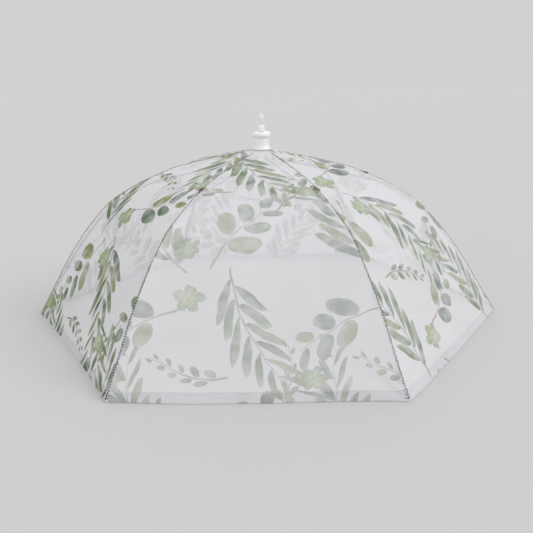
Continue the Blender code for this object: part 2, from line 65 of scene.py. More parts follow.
Cut = Callable[[float, float], tuple[float, float, float, float, float]]
RIB_COUNT = 6
FULL_TURN = 2.0 * math.pi
HALF_STEP = math.pi / RIB_COUNT
UP = Vector((0.0, 0.0, 1.0))
SIDEWAYS = Vector((0.0, 1.0, 0.0))
SOCKET_KINDS = {"Vector": "NodeSocketVector", "Colour": "NodeSocketColor"}


class Side(Enum):
    """The two half gores that hang from one rib."""

    LEFT = 1
    RIGHT = -1


class Motif(Enum):
    """The plants of the printed pattern.

    A leafy one gives its leaves' spacing, lean, length, width and roundness,
    and its stem's length.
    """

    WILLOW = (0.0215, 0.58, 0.060, 0.0130, 0.85, 0.140)
    ROUND_LEAF = (0.0280, 1.02, 0.036, 0.0260, 0.50, 0.108)
    BERRY_SPRAY = (0.0120, 0.95, 0.0090, 0.0078, 0.48, 0.066)
    BLOSSOM = ()


# --------------------------------------------------------------------------
# Node graphs
# --------------------------------------------------------------------------


class Term:
    """A node's output that plain arithmetic works on."""

    def __init__(self, graph: "Graph", socket: bpy.types.NodeSocket) -> None:
        """Keep the graph and the output."""
        self.graph = graph
        self.socket = socket

    def __add__(self, other: Any) -> "Term":
        """Add a number or another output."""
        return self.graph.math("ADD", self, other)

    def __sub__(self, other: Any) -> "Term":
        """Take a number or another output away."""
        return self.graph.math("SUBTRACT", self, other)

    def __rsub__(self, other: Any) -> "Term":
        """Take this output away from a number."""
        return self.graph.math("SUBTRACT", other, self)

    def __mul__(self, other: Any) -> "Term":
        """Multiply by a number or another output."""
        return self.graph.math("MULTIPLY", self, other)

    def __truediv__(self, other: Any) -> "Term":
        """Divide by a number or another output."""
        return self.graph.math("DIVIDE", self, other)

    def __abs__(self) -> "Term":
        """Drop the sign."""
        return self.graph.math("ABSOLUTE", self)


class Graph:
    """Adds nodes to one node tree and joins them."""

    def __init__(self, tree: bpy.types.NodeTree) -> None:
        """Keep the tree that the nodes go into."""
        self.tree = tree

    def fill(self, node: bpy.types.Node, inputs: dict[Any, Any]) -> None:
        """Join a node's inputs to outputs, or set their own values.

        Args:
            node: The node.
            inputs: A term, a number or a tuple for each input's name or number.
        """
        for key, value in inputs.items():
            socket = node.inputs[key]
            if isinstance(value, Term):
                self.tree.links.new(value.socket, socket)
            elif socket.type == "RGBA" and len(value) == 3:
                socket.default_value = (*value, 1.0)
            else:
                socket.default_value = value

    def node(self, kind: str, inputs: dict[Any, Any] | None = None, **settings: Any) -> bpy.types.Node:
        """Add a node.

        Args:
            kind: The node's type name.
            inputs: Values for its inputs, by name or number.
            **settings: The node's own options.

        Returns:
            The node.
        """
        made = self.tree.nodes.new(kind)
        for name, value in settings.items():
            setattr(made, name, value)
        self.fill(made, inputs or {})
        return made

    def result(self, kind: str, inputs: dict[Any, Any], output: Any = 0, **settings: Any) -> Term:
        """Add a node and return one of its outputs."""
        return Term(self, self.node(kind, inputs, **settings).outputs[output])

    def outputs(self, node: bpy.types.Node) -> dict[str, Term]:
        """Return all outputs of a node by name."""
        return {socket.name: Term(self, socket) for socket in node.outputs}

    def attribute(self, name: str, output: str) -> Term:
        """Read an attribute of the mesh."""
        return self.result("ShaderNodeAttribute", {}, output, attribute_name=name)

    def parts(self, vector: Any) -> list[Term]:
        """Split a vector or a colour into its three numbers."""
        return list(self.outputs(self.node("ShaderNodeSeparateXYZ", {0: vector})).values())

    def math(self, operation: str, first: Any, second: Any = 0.0) -> Term:
        """Add a Math node and return its result."""
        return self.result("ShaderNodeMath", {0: first, 1: second}, operation=operation)

    def vector(self, operation: str, *vectors: Any, scale: Any = 1.0) -> Term:
        """Add a Vector Math node and return its vector."""
        inputs = {**dict(enumerate(vectors)), 3: scale}
        return self.result("ShaderNodeVectorMath", inputs, operation=operation)

    def noise(self, vector: Any, scale: float, detail: float = 2.0, output: str = "Fac") -> Term:
        """Add a Noise Texture on a vector and return one of its outputs."""
        inputs = {"Vector": vector, "Scale": scale, "Detail": detail}
        return self.result("ShaderNodeTexNoise", inputs, output)

    def bump(self, height: Any, strength: float, distance: float = 0.0001) -> Term:
        """Turn a height into a normal."""
        return self.result("ShaderNodeBump", {"Strength": strength, "Distance": distance, "Height": height})

    def step(self, value: Any, start: Any, end: Any, low: Any = 0.0, high: Any = 1.0) -> Term:
        """Ease from low to high while a value goes from start to end.

        Args:
            value: What is measured.
            start: Where the change begins.
            end: Where it is complete.
            low: The result before start.
            high: The result after end.

        Returns:
            The eased number.
        """
        inputs = {"Value": value, "From Min": start, "From Max": end, "To Min": low, "To Max": high}
        return self.result("ShaderNodeMapRange", inputs, "Result", interpolation_type="SMOOTHSTEP")

    def mix(self, share: Any, first: Any, second: Any, blend: str = "MIX") -> Term:
        """Mix two colours.

        Args:
            share: How much of the second colour shows.
            first: The colour below.
            second: The colour on top.
            blend: The Mix node's way of mixing.

        Returns:
            The mixed colour.
        """
        inputs = {0: share, 6: first, 7: second}
        return self.result("ShaderNodeMix", inputs, 2, data_type="RGBA", blend_type=blend)

    def place(self, effect: "Effect", **inputs: Any) -> dict[str, Term]:
        """Place a shared effect with its own values.

        Args:
            effect: The effect.
            **inputs: Its inputs, with spaces in their names as underscores.

        Returns:
            Its outputs by name.
        """
        named = {name.replace("_", " "): value for name, value in inputs.items()}
        return self.outputs(self.node("ShaderNodeGroup", named, node_tree=effect.tree()))


@dataclass(frozen=True)
class Effect:
    """A shared effect, kept as one node group."""

    name = "effect"
    takes = ()

    def tree(self) -> bpy.types.NodeTree:
        """Return the effect's group, which is built once."""
        made = bpy.data.node_groups.get(self.name)
        if made is None:
            made = bpy.data.node_groups.new(self.name, "ShaderNodeTree")
            graph = Graph(made)
            self.add_sockets(made, self.takes, "INPUT")
            given = self.build(graph, graph.outputs(graph.node("NodeGroupInput")))
            self.add_sockets(made, given, "OUTPUT")
            graph.fill(graph.node("NodeGroupOutput"), given)
        return made

    def add_sockets(self, tree: bpy.types.NodeTree, names: Iterable[str], way: str) -> None:
        """Give the group its inputs or outputs."""
        for name in names:
            kind = SOCKET_KINDS.get(name, "NodeSocketFloat")
            tree.interface.new_socket(name=name, in_out=way, socket_type=kind)

    def build(self, graph: Graph, start: dict[str, Term]) -> dict[str, Any]:
        """Add the effect's nodes.

        Args:
            graph: The group's graph.
            start: The group's inputs.

        Returns:
            What each of the group's outputs gives.
        """
        raise NotImplementedError


@dataclass(frozen=True)
class FineNet(Effect):
    """Threads of a fine square net, from flat coordinates in metres."""

    name = "fine_net"
    takes = ("Vector", "Pitch", "Thread")

    def build(self, graph: Graph, start: dict[str, Term]) -> dict[str, Any]:
        """Measure the distance to the nearest thread each way."""
        x, y, _ = graph.parts(start["Vector"])
        thread = start["Thread"]
        ways = (graph.math("PINGPONG", part / start["Pitch"], 0.5) for part in (x, y))
        near = graph.math("MINIMUM", *ways)
        return {"Mask": graph.step(near, thread, thread * 0.5), "Height": graph.step(near, thread, 0.0)}


@dataclass(frozen=True)
class LeafSprig(Effect):
    """A painted stem with leaves on both sides, growing along +Y."""

    name = "leaf_sprig"
    takes = ("Vector", "Seed", "Spacing", "Lean", "Leaf Length", "Leaf Width", "Roundness", "Stem Length",
             "Bow", "Warmth")
    blue_grey: Colour = (0.060, 0.120, 0.088)
    sage: Colour = (0.080, 0.150, 0.028)
    tan: Colour = (0.215, 0.225, 0.048)
    stem: Colour = (0.210, 0.145, 0.105)
    pale: Colour = (0.360, 0.440, 0.240)
    rim: Colour = (0.05, 0.09, 0.07)
    stalk: float = 0.0018

    def build(self, graph: Graph, start: dict[str, Term]) -> dict[str, Any]:
        """Lay the leaves in slanted strips, so that one formula draws them all."""
        x, y, _ = graph.parts(start["Vector"])
        spacing = start["Spacing"]
        beside = x - y * y * start["Bow"]
        side = graph.math("SIGN", beside)
        away = abs(beside)
        sine = graph.math("SINE", start["Lean"])
        reach = away / sine
        foot = y - away / graph.math("TANGENT", start["Lean"]) + away * away * 4.0 + side * spacing * 0.2
        counted = foot / spacing
        cell = graph.math("FLOOR", counted)
        across = (counted - cell - 0.5) * spacing * sine
        key = graph.result("ShaderNodeCombineXYZ", {0: cell, 1: side, 2: start["Seed"]})
        luck = graph.parts(graph.result("ShaderNodeTexWhiteNoise", {"Vector": key}, "Color"))
        half_stem = start["Stem Length"] * 0.5
        rise = cell * spacing / half_stem
        growing = graph.math("GREATER_THAN", rise, -1.0) * graph.math("LESS_THAN", rise, 0.93)
        size = graph.step(rise, -1.2, 1.0, 1.05, 0.55)
        length = start["Leaf Length"] * size * graph.step(luck[0], 0.0, 1.0, 0.78, 1.12)
        share = (reach - self.stalk) / length
        swell = graph.math("MAXIMUM", share * (1.0 - share) * 4.0, 0.0)
        width = start["Leaf Width"] * 0.5 * size * graph.step(luck[1], 0.0, 1.0, 0.8, 1.1)
        ratio = across / (width * graph.math("POWER", swell, start["Roundness"]) + 0.00001)
        leaf = graph.step(abs(ratio), 1.0, 0.88) * growing
        tone = luck[2] + start["Warmth"]
        colour = graph.mix(graph.step(tone, 0.35, 0.5), self.blue_grey, self.sage)
        colour = graph.mix(graph.step(tone, 0.72, 0.82), colour, self.tan)
        pale = graph.mix(0.55, colour, self.pale)
        colour = graph.mix(graph.step(share * 0.55 + ratio * 0.3, 0.1, 0.75), colour, pale)
        colour = graph.mix(graph.step(abs(across), 0.0005, 0.0002) * 0.35, colour, pale)
        rim = graph.step(abs(ratio), 0.62, 0.95) * 0.35
        colour = graph.mix(rim, colour, graph.mix(0.6, colour, self.rim))
        climb = y / half_stem
        thick = graph.step(climb, -1.0, 1.0, 0.0015, 0.0005)
        twig = graph.step(away, thick, thick * 0.6) * graph.step(abs(climb), 1.02, 1.0)
        stalk = graph.step(abs(across), 0.0006, 0.0003) * 0.8 * graph.step(reach, length * 0.2, length * 0.1)
        wood = graph.math("MAXIMUM", twig, stalk * growing)
        mask = graph.math("MAXIMUM", leaf, wood * 0.9)
        return {"Colour": graph.mix(wood, colour, self.stem), "Mask": mask}


@dataclass(frozen=True)
class Blossom(Effect):
    """An open flower of broad pale petals about the origin."""

    name = "blossom"
    takes = ("Vector", "Radius", "Petals")
    edge: Colour = (0.150, 0.245, 0.070)
    middle: Colour = (0.390, 0.480, 0.220)
    eye: Colour = (0.290, 0.250, 0.130)
    rim: Colour = (0.12, 0.18, 0.10)

    def build(self, graph: Graph, start: dict[str, Term]) -> dict[str, Any]:
        """Shape the petals by their angle and shade them outwards."""
        x, y, _ = graph.parts(start["Vector"])
        angle = graph.math("ARCTAN2", y, x) * start["Petals"]
        lobe = abs(graph.math("COSINE", angle * 0.5))
        uneven = graph.step(graph.noise(start["Vector"], 95.0), 0.25, 0.75, 0.40, 0.72)
        limit = start["Radius"] * (graph.math("POWER", lobe, 0.62) * 0.46 + uneven)
        ratio = graph.math("SQRT", x * x + y * y) / limit
        veins = abs(graph.math("SINE", angle * 3.0))
        layers = (
            (graph.step(ratio, 0.25, 1.05), self.edge),
            (graph.step(lobe, 0.30, 0.02) * graph.step(ratio, 0.2, 0.5) * 0.6, self.edge),
            (graph.step(veins, 0.35, 0.0) * 0.25, self.edge),
            (graph.step(ratio, 0.86, 0.99) * 0.45, self.rim),
            (graph.step(ratio, 0.16, 0.10) * 0.8, self.eye),
        )
        colour: Any = self.middle
        for share, paint in layers:
            colour = graph.mix(share, colour, paint)
        return {"Colour": colour, "Mask": graph.step(ratio, 1.0, 0.95)}


@dataclass(frozen=True)
class Stamp:
    """One plant of the print, in metres on the repeat."""

    motif: Motif
    x: float
    y: float
    turn: float
    seed: float = 0.0
    size: float = 1.0
    bow: float = 2.5
    warmth: float = 0.0


@dataclass(frozen=True)
class PrintedPattern(Effect):
    """The leafy repeat printed on the cloth, from flat coordinates in metres."""

    name = "printed_pattern"
    takes = ("Vector",)
    repeat: tuple[float, float] = (0.206, 0.229)
    drift: float = 0.0075
    petal_reach: float = 0.0175
    stamps: tuple[Stamp, ...] = (
        Stamp(Motif.WILLOW, 0.052, 0.061, 24.0, 1.0, 1.00, 3.0),
        Stamp(Motif.WILLOW, 0.157, 0.171, 205.0, 2.0, 0.95, -2.6, 0.12),
        Stamp(Motif.ROUND_LEAF, 0.147, 0.054, -38.0, 3.0, 1.00, 2.0, 0.22),
        Stamp(Motif.ROUND_LEAF, 0.045, 0.175, 118.0, 4.0, 0.92, -2.2, 0.24),
        Stamp(Motif.BERRY_SPRAY, 0.098, 0.124, 74.0, 5.0, 1.2, 5.0, 0.25),
        Stamp(Motif.BERRY_SPRAY, 0.199, 0.115, -12.0, 6.0, 1.1, -6.0, 0.25),
        Stamp(Motif.BLOSSOM, 0.098, 0.203, 12.0, 5.0, 0.92),
        Stamp(Motif.BLOSSOM, 0.094, 0.031, 40.0, 7.0, 0.80),
        Stamp(Motif.BLOSSOM, 0.016, 0.120, 5.0, 6.0, 0.76),
    )

    def build(self, graph: Graph, start: dict[str, Term]) -> dict[str, Any]:
        """Wrap each plant into the repeat and paint them over each other."""
        flat = start["Vector"]
        shift = graph.vector("SUBTRACT", graph.noise(flat, 38.0, 1.0, "Color"), (0.5, 0.5, 0.5))
        plane = graph.vector("ADD", flat, graph.vector("SCALE", shift, scale=self.drift))
        colour: Any = (0.3, 0.36, 0.25)
        mask: Any = 0.0
        for stamp in self.stamps:
            layer = self.plant(graph, plane, stamp)
            colour = graph.mix(layer["Mask"], colour, layer["Colour"])
            mask = graph.math("MAXIMUM", mask, layer["Mask"])
        wash = graph.step(graph.noise(flat, 55.0, 4.0), 0.30, 0.68, 0.58, 1.0)
        grain = graph.step(graph.noise(flat, 900.0), 0.2, 0.7, 0.86, 1.0)
        return {"Colour": colour, "Mask": mask * wash * grain}

    def plant(self, graph: Graph, plane: Term, stamp: Stamp) -> dict[str, Term]:
        """Place one plant.

        Args:
            graph: The group's graph.
            plane: The flat coordinates.
            stamp: What is placed, and where.

        Returns:
            The plant's colour and mask.
        """
        half = (0.5 * self.repeat[0], 0.5 * self.repeat[1], 1.0)
        moved = graph.vector("SUBTRACT", plane, (stamp.x, stamp.y, 0.0))
        wrapped = graph.vector("WRAP", moved, half, tuple(-value for value in half))
        inputs = {"Vector": wrapped, "Angle": -math.radians(stamp.turn)}
        turned = graph.result("ShaderNodeVectorRotate", inputs, rotation_type="Z_AXIS")
        if stamp.motif is Motif.BLOSSOM:
            radius = self.petal_reach * stamp.size
            return graph.place(Blossom(), Vector=turned, Radius=radius, Petals=stamp.seed)
        spacing, lean, length, width, roundness, stem = stamp.motif.value
        return graph.place(
            LeafSprig(), Vector=turned, Seed=stamp.seed, Spacing=spacing * stamp.size, Lean=lean,
            Leaf_Length=length * stamp.size, Leaf_Width=width * stamp.size, Roundness=roundness,
            Stem_Length=stem * stamp.size, Bow=stamp.bow, Warmth=stamp.warmth,
        )


@dataclass(frozen=True)
class HandlingMarks(Effect):
    """Uneven gloss and faint smudges that every hard piece picks up."""

    name = "handling_marks"
    takes = ("Vector", "Scale", "Roughness", "Spread")

    def build(self, graph: Graph, start: dict[str, Term]) -> dict[str, Any]:
        """Mix a broad smudge with a fine grain."""
        sized = graph.vector("SCALE", start["Vector"], scale=start["Scale"])
        broad = graph.noise(sized, 0.6, 3.0)
        fine = graph.noise(sized, 9.0)
        change = broad * 0.7 + fine * 0.3 - 0.5
        rough = start["Roughness"] + change * start["Spread"]
        return {"Roughness": rough, "Smudge": graph.step(broad, 0.42, 0.66), "Height": fine}


# --------------------------------------------------------------------------
# Finishes
# --------------------------------------------------------------------------


def blank_material(name: str) -> tuple[Material, Graph, bpy.types.Node]:
    """Start a material and return it with its graph and its Principled BSDF."""
    material = bpy.data.materials.new(name)
    material.use_nodes = True
    return material, Graph(material.node_tree), material.node_tree.nodes["Principled BSDF"]


@dataclass(frozen=True)
class NetFinish:
    """White polyester net with a leafy print."""

    name: str = "net_cloth"
    ground: Colour = (0.880, 0.874, 0.912)
    shade: float = 0.965
    hem_depth: float = 0.011
    # hem_shade sets how much painted shade darkens the doubled hem.
    hem_shade: float = 0.82
    hem_cover: float = 0.16
    pitch: float = 0.00085
    thread: float = 0.23
    gap_alpha: float = 0.56
    thread_alpha: float = 0.78
    ink_alpha: float = 0.26
    light_through: float = 0.55
    roughness: float = 0.82

    def material(self) -> Material:
        """Return the material, which follows the cloth's flat pattern."""
        material, graph, shader = blank_material(self.name)
        laid = graph.attribute("flat_pattern", "Vector")
        flat = graph.vector("MULTIPLY", laid, (1.0, 1.0, 0.0))
        leaves = graph.place(PrintedPattern(), Vector=flat)
        ink = leaves["Mask"] * graph.parts(laid)[2]
        weave = graph.place(FineNet(), Vector=flat, Pitch=self.pitch, Thread=self.thread)
        shaded = tuple(self.shade * value for value in self.ground)
        ground = graph.mix(graph.step(graph.noise(flat, 14.0), 0.3, 0.7), self.ground, shaded)
        painted = graph.mix(ink, ground, leaves["Colour"])
        # The doubled hem's colour is multiplied by hem_shade: painted shade, not a tone of the cloth.
        hem_painted_shade = graph.mix(1.0, painted, (self.hem_shade,) * 3, "MULTIPLY")
        rise = graph.attribute("hem_rise", "Fac")
        doubled = graph.step(rise, self.hem_depth + 0.0002, self.hem_depth - 0.0002)
        cover = graph.step(weave["Mask"], 0.0, 1.0, self.gap_alpha, self.thread_alpha)
        cover = graph.math("MINIMUM", cover + ink * self.ink_alpha + doubled * self.hem_cover, 1.0)
        path = graph.outputs(graph.node("ShaderNodeLightPath"))
        soft_light = graph.math("MAXIMUM", path["Is Shadow Ray"], path["Is Diffuse Ray"])
        graph.fill(shader, {
            "Base Color": graph.mix(doubled, painted, hem_painted_shade),
            "Alpha": cover * (1.0 - soft_light * self.light_through),
            "Normal": graph.bump(weave["Height"], 0.35, 0.0002),
            "Roughness": self.roughness, "Sheen Weight": 0.15, "Specular IOR Level": 0.3,
        })
        return material


@dataclass(frozen=True)
class HardFinish:
    """Drawn wire or moulded plastic, with marks of handling."""

    name: str
    colour: Colour
    worn: Colour
    roughness: float
    milk: float = 0.0
    metal: float = 0.0
    scale: float = 90.0
    spread: float = 0.22
    grain: float = 0.08

    def material(self) -> Material:
        """Return the material."""
        material, graph, shader = blank_material(self.name)
        spot = graph.outputs(graph.node("ShaderNodeTexCoord"))["Object"]
        marks = graph.place(HandlingMarks(), Vector=spot, Scale=self.scale, Roughness=self.roughness,
                            Spread=self.spread)
        graph.fill(shader, {
            "Base Color": graph.mix(marks["Smudge"], self.colour, self.worn),
            "Roughness": marks["Roughness"],
            "Normal": graph.bump(marks["Height"], self.grain),
            "Metallic": self.metal, "Subsurface Weight": self.milk, "Subsurface Radius": (1.0, 1.0, 1.0),
            "Subsurface Scale": 0.003,
        })
        return material


@dataclass(frozen=True)
class FibreFinish:
    """Cotton cord, sewing thread or whipping, with fine fibres."""

    name: str
    colour: Colour
    deep: Colour
    fibre: float = 5000.0

    def material(self) -> Material:
        """Return the material."""
        material, graph, shader = blank_material(self.name)
        spot = graph.outputs(graph.node("ShaderNodeTexCoord"))["Object"]
        fibres = graph.noise(spot, self.fibre, 4.0)
        graph.fill(shader, {
            "Base Color": graph.mix(graph.step(fibres, 0.3, 0.65), self.deep, self.colour),
            "Normal": graph.bump(fibres, 0.5),
            "Roughness": graph.step(fibres, 0.2, 0.8, 0.92, 0.78),
            "Sheen Weight": 0.3,
        })
        return material


def make_finishes() -> dict[str, Material]:
    """Return one material of each finish that the cover needs, by name."""
    wire = {"metal": 1.0, "scale": 60.0, "spread": 0.35, "grain": 0.2}
    finishes = (
        NetFinish(),
        HardFinish("spring_wire", (0.13, 0.13, 0.135), (0.07, 0.07, 0.07), 0.36, **wire),
        HardFinish("bright_wire", (0.60, 0.61, 0.63), (0.42, 0.42, 0.43), 0.30, **wire),
        HardFinish("milky_plastic", (0.93, 0.94, 0.95), (0.88, 0.90, 0.92), 0.26, 0.5),
        HardFinish("white_plastic", (0.80, 0.80, 0.79), (0.74, 0.74, 0.72), 0.42),
        FibreFinish("cotton_cord", (0.95, 0.945, 0.92), (0.86, 0.85, 0.81), 2600.0),
        FibreFinish("dark_sewing", (0.055, 0.050, 0.040), (0.020, 0.020, 0.018)),
        FibreFinish("brown_whipping", (0.230, 0.150, 0.100), (0.100, 0.062, 0.045)),
        FibreFinish("light_sewing", (0.86, 0.86, 0.84), (0.66, 0.66, 0.63)),
    )
    return {finish.name: finish.material() for finish in finishes}


# --------------------------------------------------------------------------
# Shaping helpers
# --------------------------------------------------------------------------


def make_piece(name: str, shape: Mesh, *materials: Material) -> Piece:
    """Turn a bmesh into a smooth shaded piece at the origin.

    Args:
        name: The piece's name.
        shape: Its mesh, which is freed.
        *materials: Its finishes.

    Returns:
        The object.
    """
    mesh = bpy.data.meshes.new(name)
    shape.to_mesh(mesh)
    shape.free()
    mesh.shade_smooth()
    for material in materials:
        mesh.materials.append(material)
    made = bpy.data.objects.new(name, mesh)
    bpy.context.scene.collection.objects.link(made)
    LOG.info("%s: %d faces", name, len(mesh.polygons))
    return made


def fasten(piece: Piece, body: str, node: str) -> None:
    """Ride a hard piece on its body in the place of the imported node."""
    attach(piece, body)
    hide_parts(node)


def rib_turn(rib: int, size: int = 3) -> Matrix:
    """The turn from the first rib's plane to another's."""
    return Matrix.Rotation(2.0 * HALF_STEP * rib, size, "Z")


def polar(radius: float, angle: float, height: float = 0.0) -> Vector:
    """A point at a radius and an angle about Z."""
    return Vector((radius * math.cos(angle), radius * math.sin(angle), height))


def frame_along(direction: Vector, across: Vector) -> Matrix:
    """A turn whose Z runs along a direction and whose X lies near another.

    Args:
        direction: Where Z goes.
        across: Where X goes, as nearly as it can.

    Returns:
        The turn.
    """
    third = direction.normalized()
    first = (across - third * across.dot(third)).normalized()
    return Matrix((first, third.cross(first), third)).transposed().to_4x4()


def frames_on(path: Sequence[Vector]) -> list[Matrix]:
    """Put a frame on each point of a path, without twist, its Z along the path."""
    across = (path[1] - path[0]).orthogonal().normalized()
    frames = []
    for before, point, after in zip([path[0], *path], path, [*path[1:], path[-1]]):
        turn = frame_along(after - before, across)
        across = turn.col[0].to_3d()
        frames.append(Matrix.Translation(point) @ turn)
    return frames


def sweep(shape: Mesh, path: Sequence[Vector], radius: Callable[[float], float], sides: int) -> None:
    """Draw a closed round tube along a path.

    Args:
        shape: The mesh that it is added to.
        path: The points of its centre line.
        radius: Its radius at each share of the path.
        sides: How many sides it has.
    """
    ring = bmesh.ops.create_circle(shape, cap_ends=False, radius=1.0, segments=sides)["verts"]
    old = Matrix.Identity(4)
    first_edges = list({edge for corner in ring for edge in corner.link_edges})
    edges = first_edges
    for index, place in enumerate(frames_on(path)):
        new = place @ Matrix.Scale(radius(index / (len(path) - 1)), 4)
        if index:
            grown = bmesh.ops.extrude_edge_only(shape, edges=edges)["geom"]
            ring = [item for item in grown if isinstance(item, bmesh.types.BMVert)]
            edges = [item for item in grown if isinstance(item, bmesh.types.BMEdge)
                     and item.verts[0] in ring and item.verts[1] in ring]
        bmesh.ops.transform(shape, matrix=new @ old.inverted(), verts=ring)
        old = new
    bmesh.ops.contextual_create(shape, geom=first_edges)
    bmesh.ops.contextual_create(shape, geom=edges)


def eased(path: list[Vector], rounds: int) -> list[Vector]:
    """Smooth a path some rounds without moving its ends."""
    for _ in range(rounds):
        inner = [0.25 * before + 0.5 * here + 0.25 * after
                 for before, here, after in zip(path, path[1:], path[2:])]
        path = [path[0], *inner, path[-1]]
    return path


def turned_piece(profile: Profile, steps: int, width: float, sharp: float = 35.0) -> Mesh:
    """Turn a profile about Z and round its sharp edges.

    Args:
        profile: Its corners as radius and height, in a closed loop.
        steps: How many steps go round.
        width: The bevel's width.
        sharp: The least angle in degrees that counts as an edge.

    Returns:
        The closed mesh.
    """
    shape = bmesh.new()
    corners = [shape.verts.new((radius, 0.0, height)) for radius, height in profile]
    edges = [shape.edges.new(pair) for pair in zip(corners, corners[1:] + corners[:1])]
    bmesh.ops.spin(shape, geom=corners + edges, cent=(0.0, 0.0, 0.0), axis=UP, angle=FULL_TURN,
                   steps=steps, use_merge=True)
    bmesh.ops.remove_doubles(shape, verts=shape.verts, dist=0.00001)
    bmesh.ops.recalc_face_normals(shape, faces=shape.faces)
    limit = math.radians(sharp)
    edges = [edge for edge in shape.edges if edge.is_manifold and edge.calc_face_angle() > limit]
    bmesh.ops.bevel(shape, geom=edges, offset=width, offset_type="OFFSET", segments=3, profile=0.5,
                    affect="EDGES", material=-1)
    return shape


class Sewing:
    """A run of single stitches, each a copy of one grain of thread."""

    def __init__(self) -> None:
        """Twist one grain of each thread, which the stitches copy."""
        self.shape = bmesh.new()
        self.grains = []
        for thread in range(3):
            grain = bmesh.new()
            bmesh.ops.create_uvsphere(grain, u_segments=6, v_segments=4, radius=1.0)
            for face in grain.faces:
                face.material_index = thread
            mesh = bpy.data.meshes.new("thread_grain")
            grain.to_mesh(mesh)
            grain.free()
            self.grains.append(mesh)

    def stitch(self, centre: Vector, along: Vector, normal: Vector, length: float, radius: float,
               thread: int = 0) -> None:
        """Add one stitch.

        Args:
            centre: Its middle.
            along: Its direction.
            normal: The cloth's normal there.
            length: Its length.
            radius: Its thread's radius.
            thread: Which thread it is sewn with.
        """
        place = Matrix.Translation(centre) @ frame_along(along, normal)
        copy = self.grains[thread].copy()
        copy.transform(place @ Matrix.Diagonal((0.7 * radius, radius, 0.5 * length, 1.0)))
        self.shape.from_mesh(copy)
        bpy.data.meshes.remove(copy)

    def done(self) -> Mesh:
        """Put the grains away and return the sewn mesh."""
        for mesh in self.grains:
            bpy.data.meshes.remove(mesh)
        return self.shape


# --------------------------------------------------------------------------
# Canopy
# --------------------------------------------------------------------------


@dataclass(frozen=True)
class Half:
    """One half gore, which hangs from a rib on one of its sides."""

    rib: int
    side: Side

    @property
    def hand(self) -> int:
        """1 on the rib's left and -1 on its right."""
        return self.side.value

    @property
    def gore(self) -> int:
        """The number of the gore that it is half of."""
        return self.rib if self.side is Side.LEFT else (self.rib - 1) % RIB_COUNT

    @property
    def tag(self) -> str:
        """The end of its pieces' names."""
        return f"{self.rib + 1}_{self.side.name.lower()}"

    @property
    def turn(self) -> Matrix:
        """The turn into its rib's frame."""
        return rib_turn(self.rib)

    @property
    def chord(self) -> Vector:
        """The direction across the gore, in the rib's own frame."""
        return Vector((-math.sin(HALF_STEP), self.hand * math.cos(HALF_STEP), 0.0))


@dataclass
class SeamLine:
    """The line of the seam over each rib, in its upright plane."""

    corner_radius: float = 0.300
    crown_height: float = 0.215
    hem_clearance: float = 0.0008
    shares: tuple[tuple[float, float], ...] = (
        (0.025, 1.000), (0.175, 0.956), (0.345, 0.898), (0.446, 0.844), (0.548, 0.775),
        (0.656, 0.675), (0.754, 0.523), (0.846, 0.348), (0.923, 0.172), (1.000, 0.000),
    )
    samples: int = 360
    lengths: list[float] = field(init=False)
    found: dict[float, Vector] = field(default_factory=dict)

    def __post_init__(self) -> None:
        """Measure the line from the crown down to the hem."""
        self.lengths = [0.0]
        points = [self.by_row(index / self.samples) for index in range(self.samples + 1)]
        for here, after in zip(points, points[1:]):
            self.lengths.append(self.lengths[-1] + (after - here).length)

    @property
    def length(self) -> float:
        """The seam's whole length."""
        return self.lengths[-1]

    def by_row(self, share: float) -> Vector:
        """The point at a share of the table's rows, from 0 at the crown to 1 at the hem."""
        last = len(self.shares) - 1
        place = share * last
        row = min(int(place), last - 1)
        part = place - row
        rows = [min(max(row + shift, 0), last) for shift in (-1, 0, 1, 2)]
        before, start, end, after = (Vector(self.shares[index]) for index in rows)
        square = part * part
        cube = square * part
        spot = start * (2.0 * cube - 3.0 * square + 1.0)
        spot += 0.5 * (end - before) * (cube - 2.0 * square + part)
        spot += end * (3.0 * square - 2.0 * cube) + 0.5 * (after - start) * (cube - square)
        height = self.hem_clearance + spot.y * (self.crown_height - self.hem_clearance)
        return Vector((spot.x * self.corner_radius, 0.0, height))

    def at(self, run: float) -> Vector:
        """The point some metres down the seam from the crown."""
        if run not in self.found:
            low = min(max(bisect_right(self.lengths, run) - 1, 0), self.samples - 1)
            part = (run - self.lengths[low]) / (self.lengths[low + 1] - self.lengths[low])
            self.found[run] = self.by_row((low + part) / self.samples)
        return self.found[run]

    def slope(self, run: float) -> Vector:
        """The unit direction outward and down at a distance down the seam."""
        step = 0.0015
        high = min(run + step, self.length)
        low = max(high - 2.0 * step, 0.0)
        return (self.at(high) - self.at(low)).normalized()


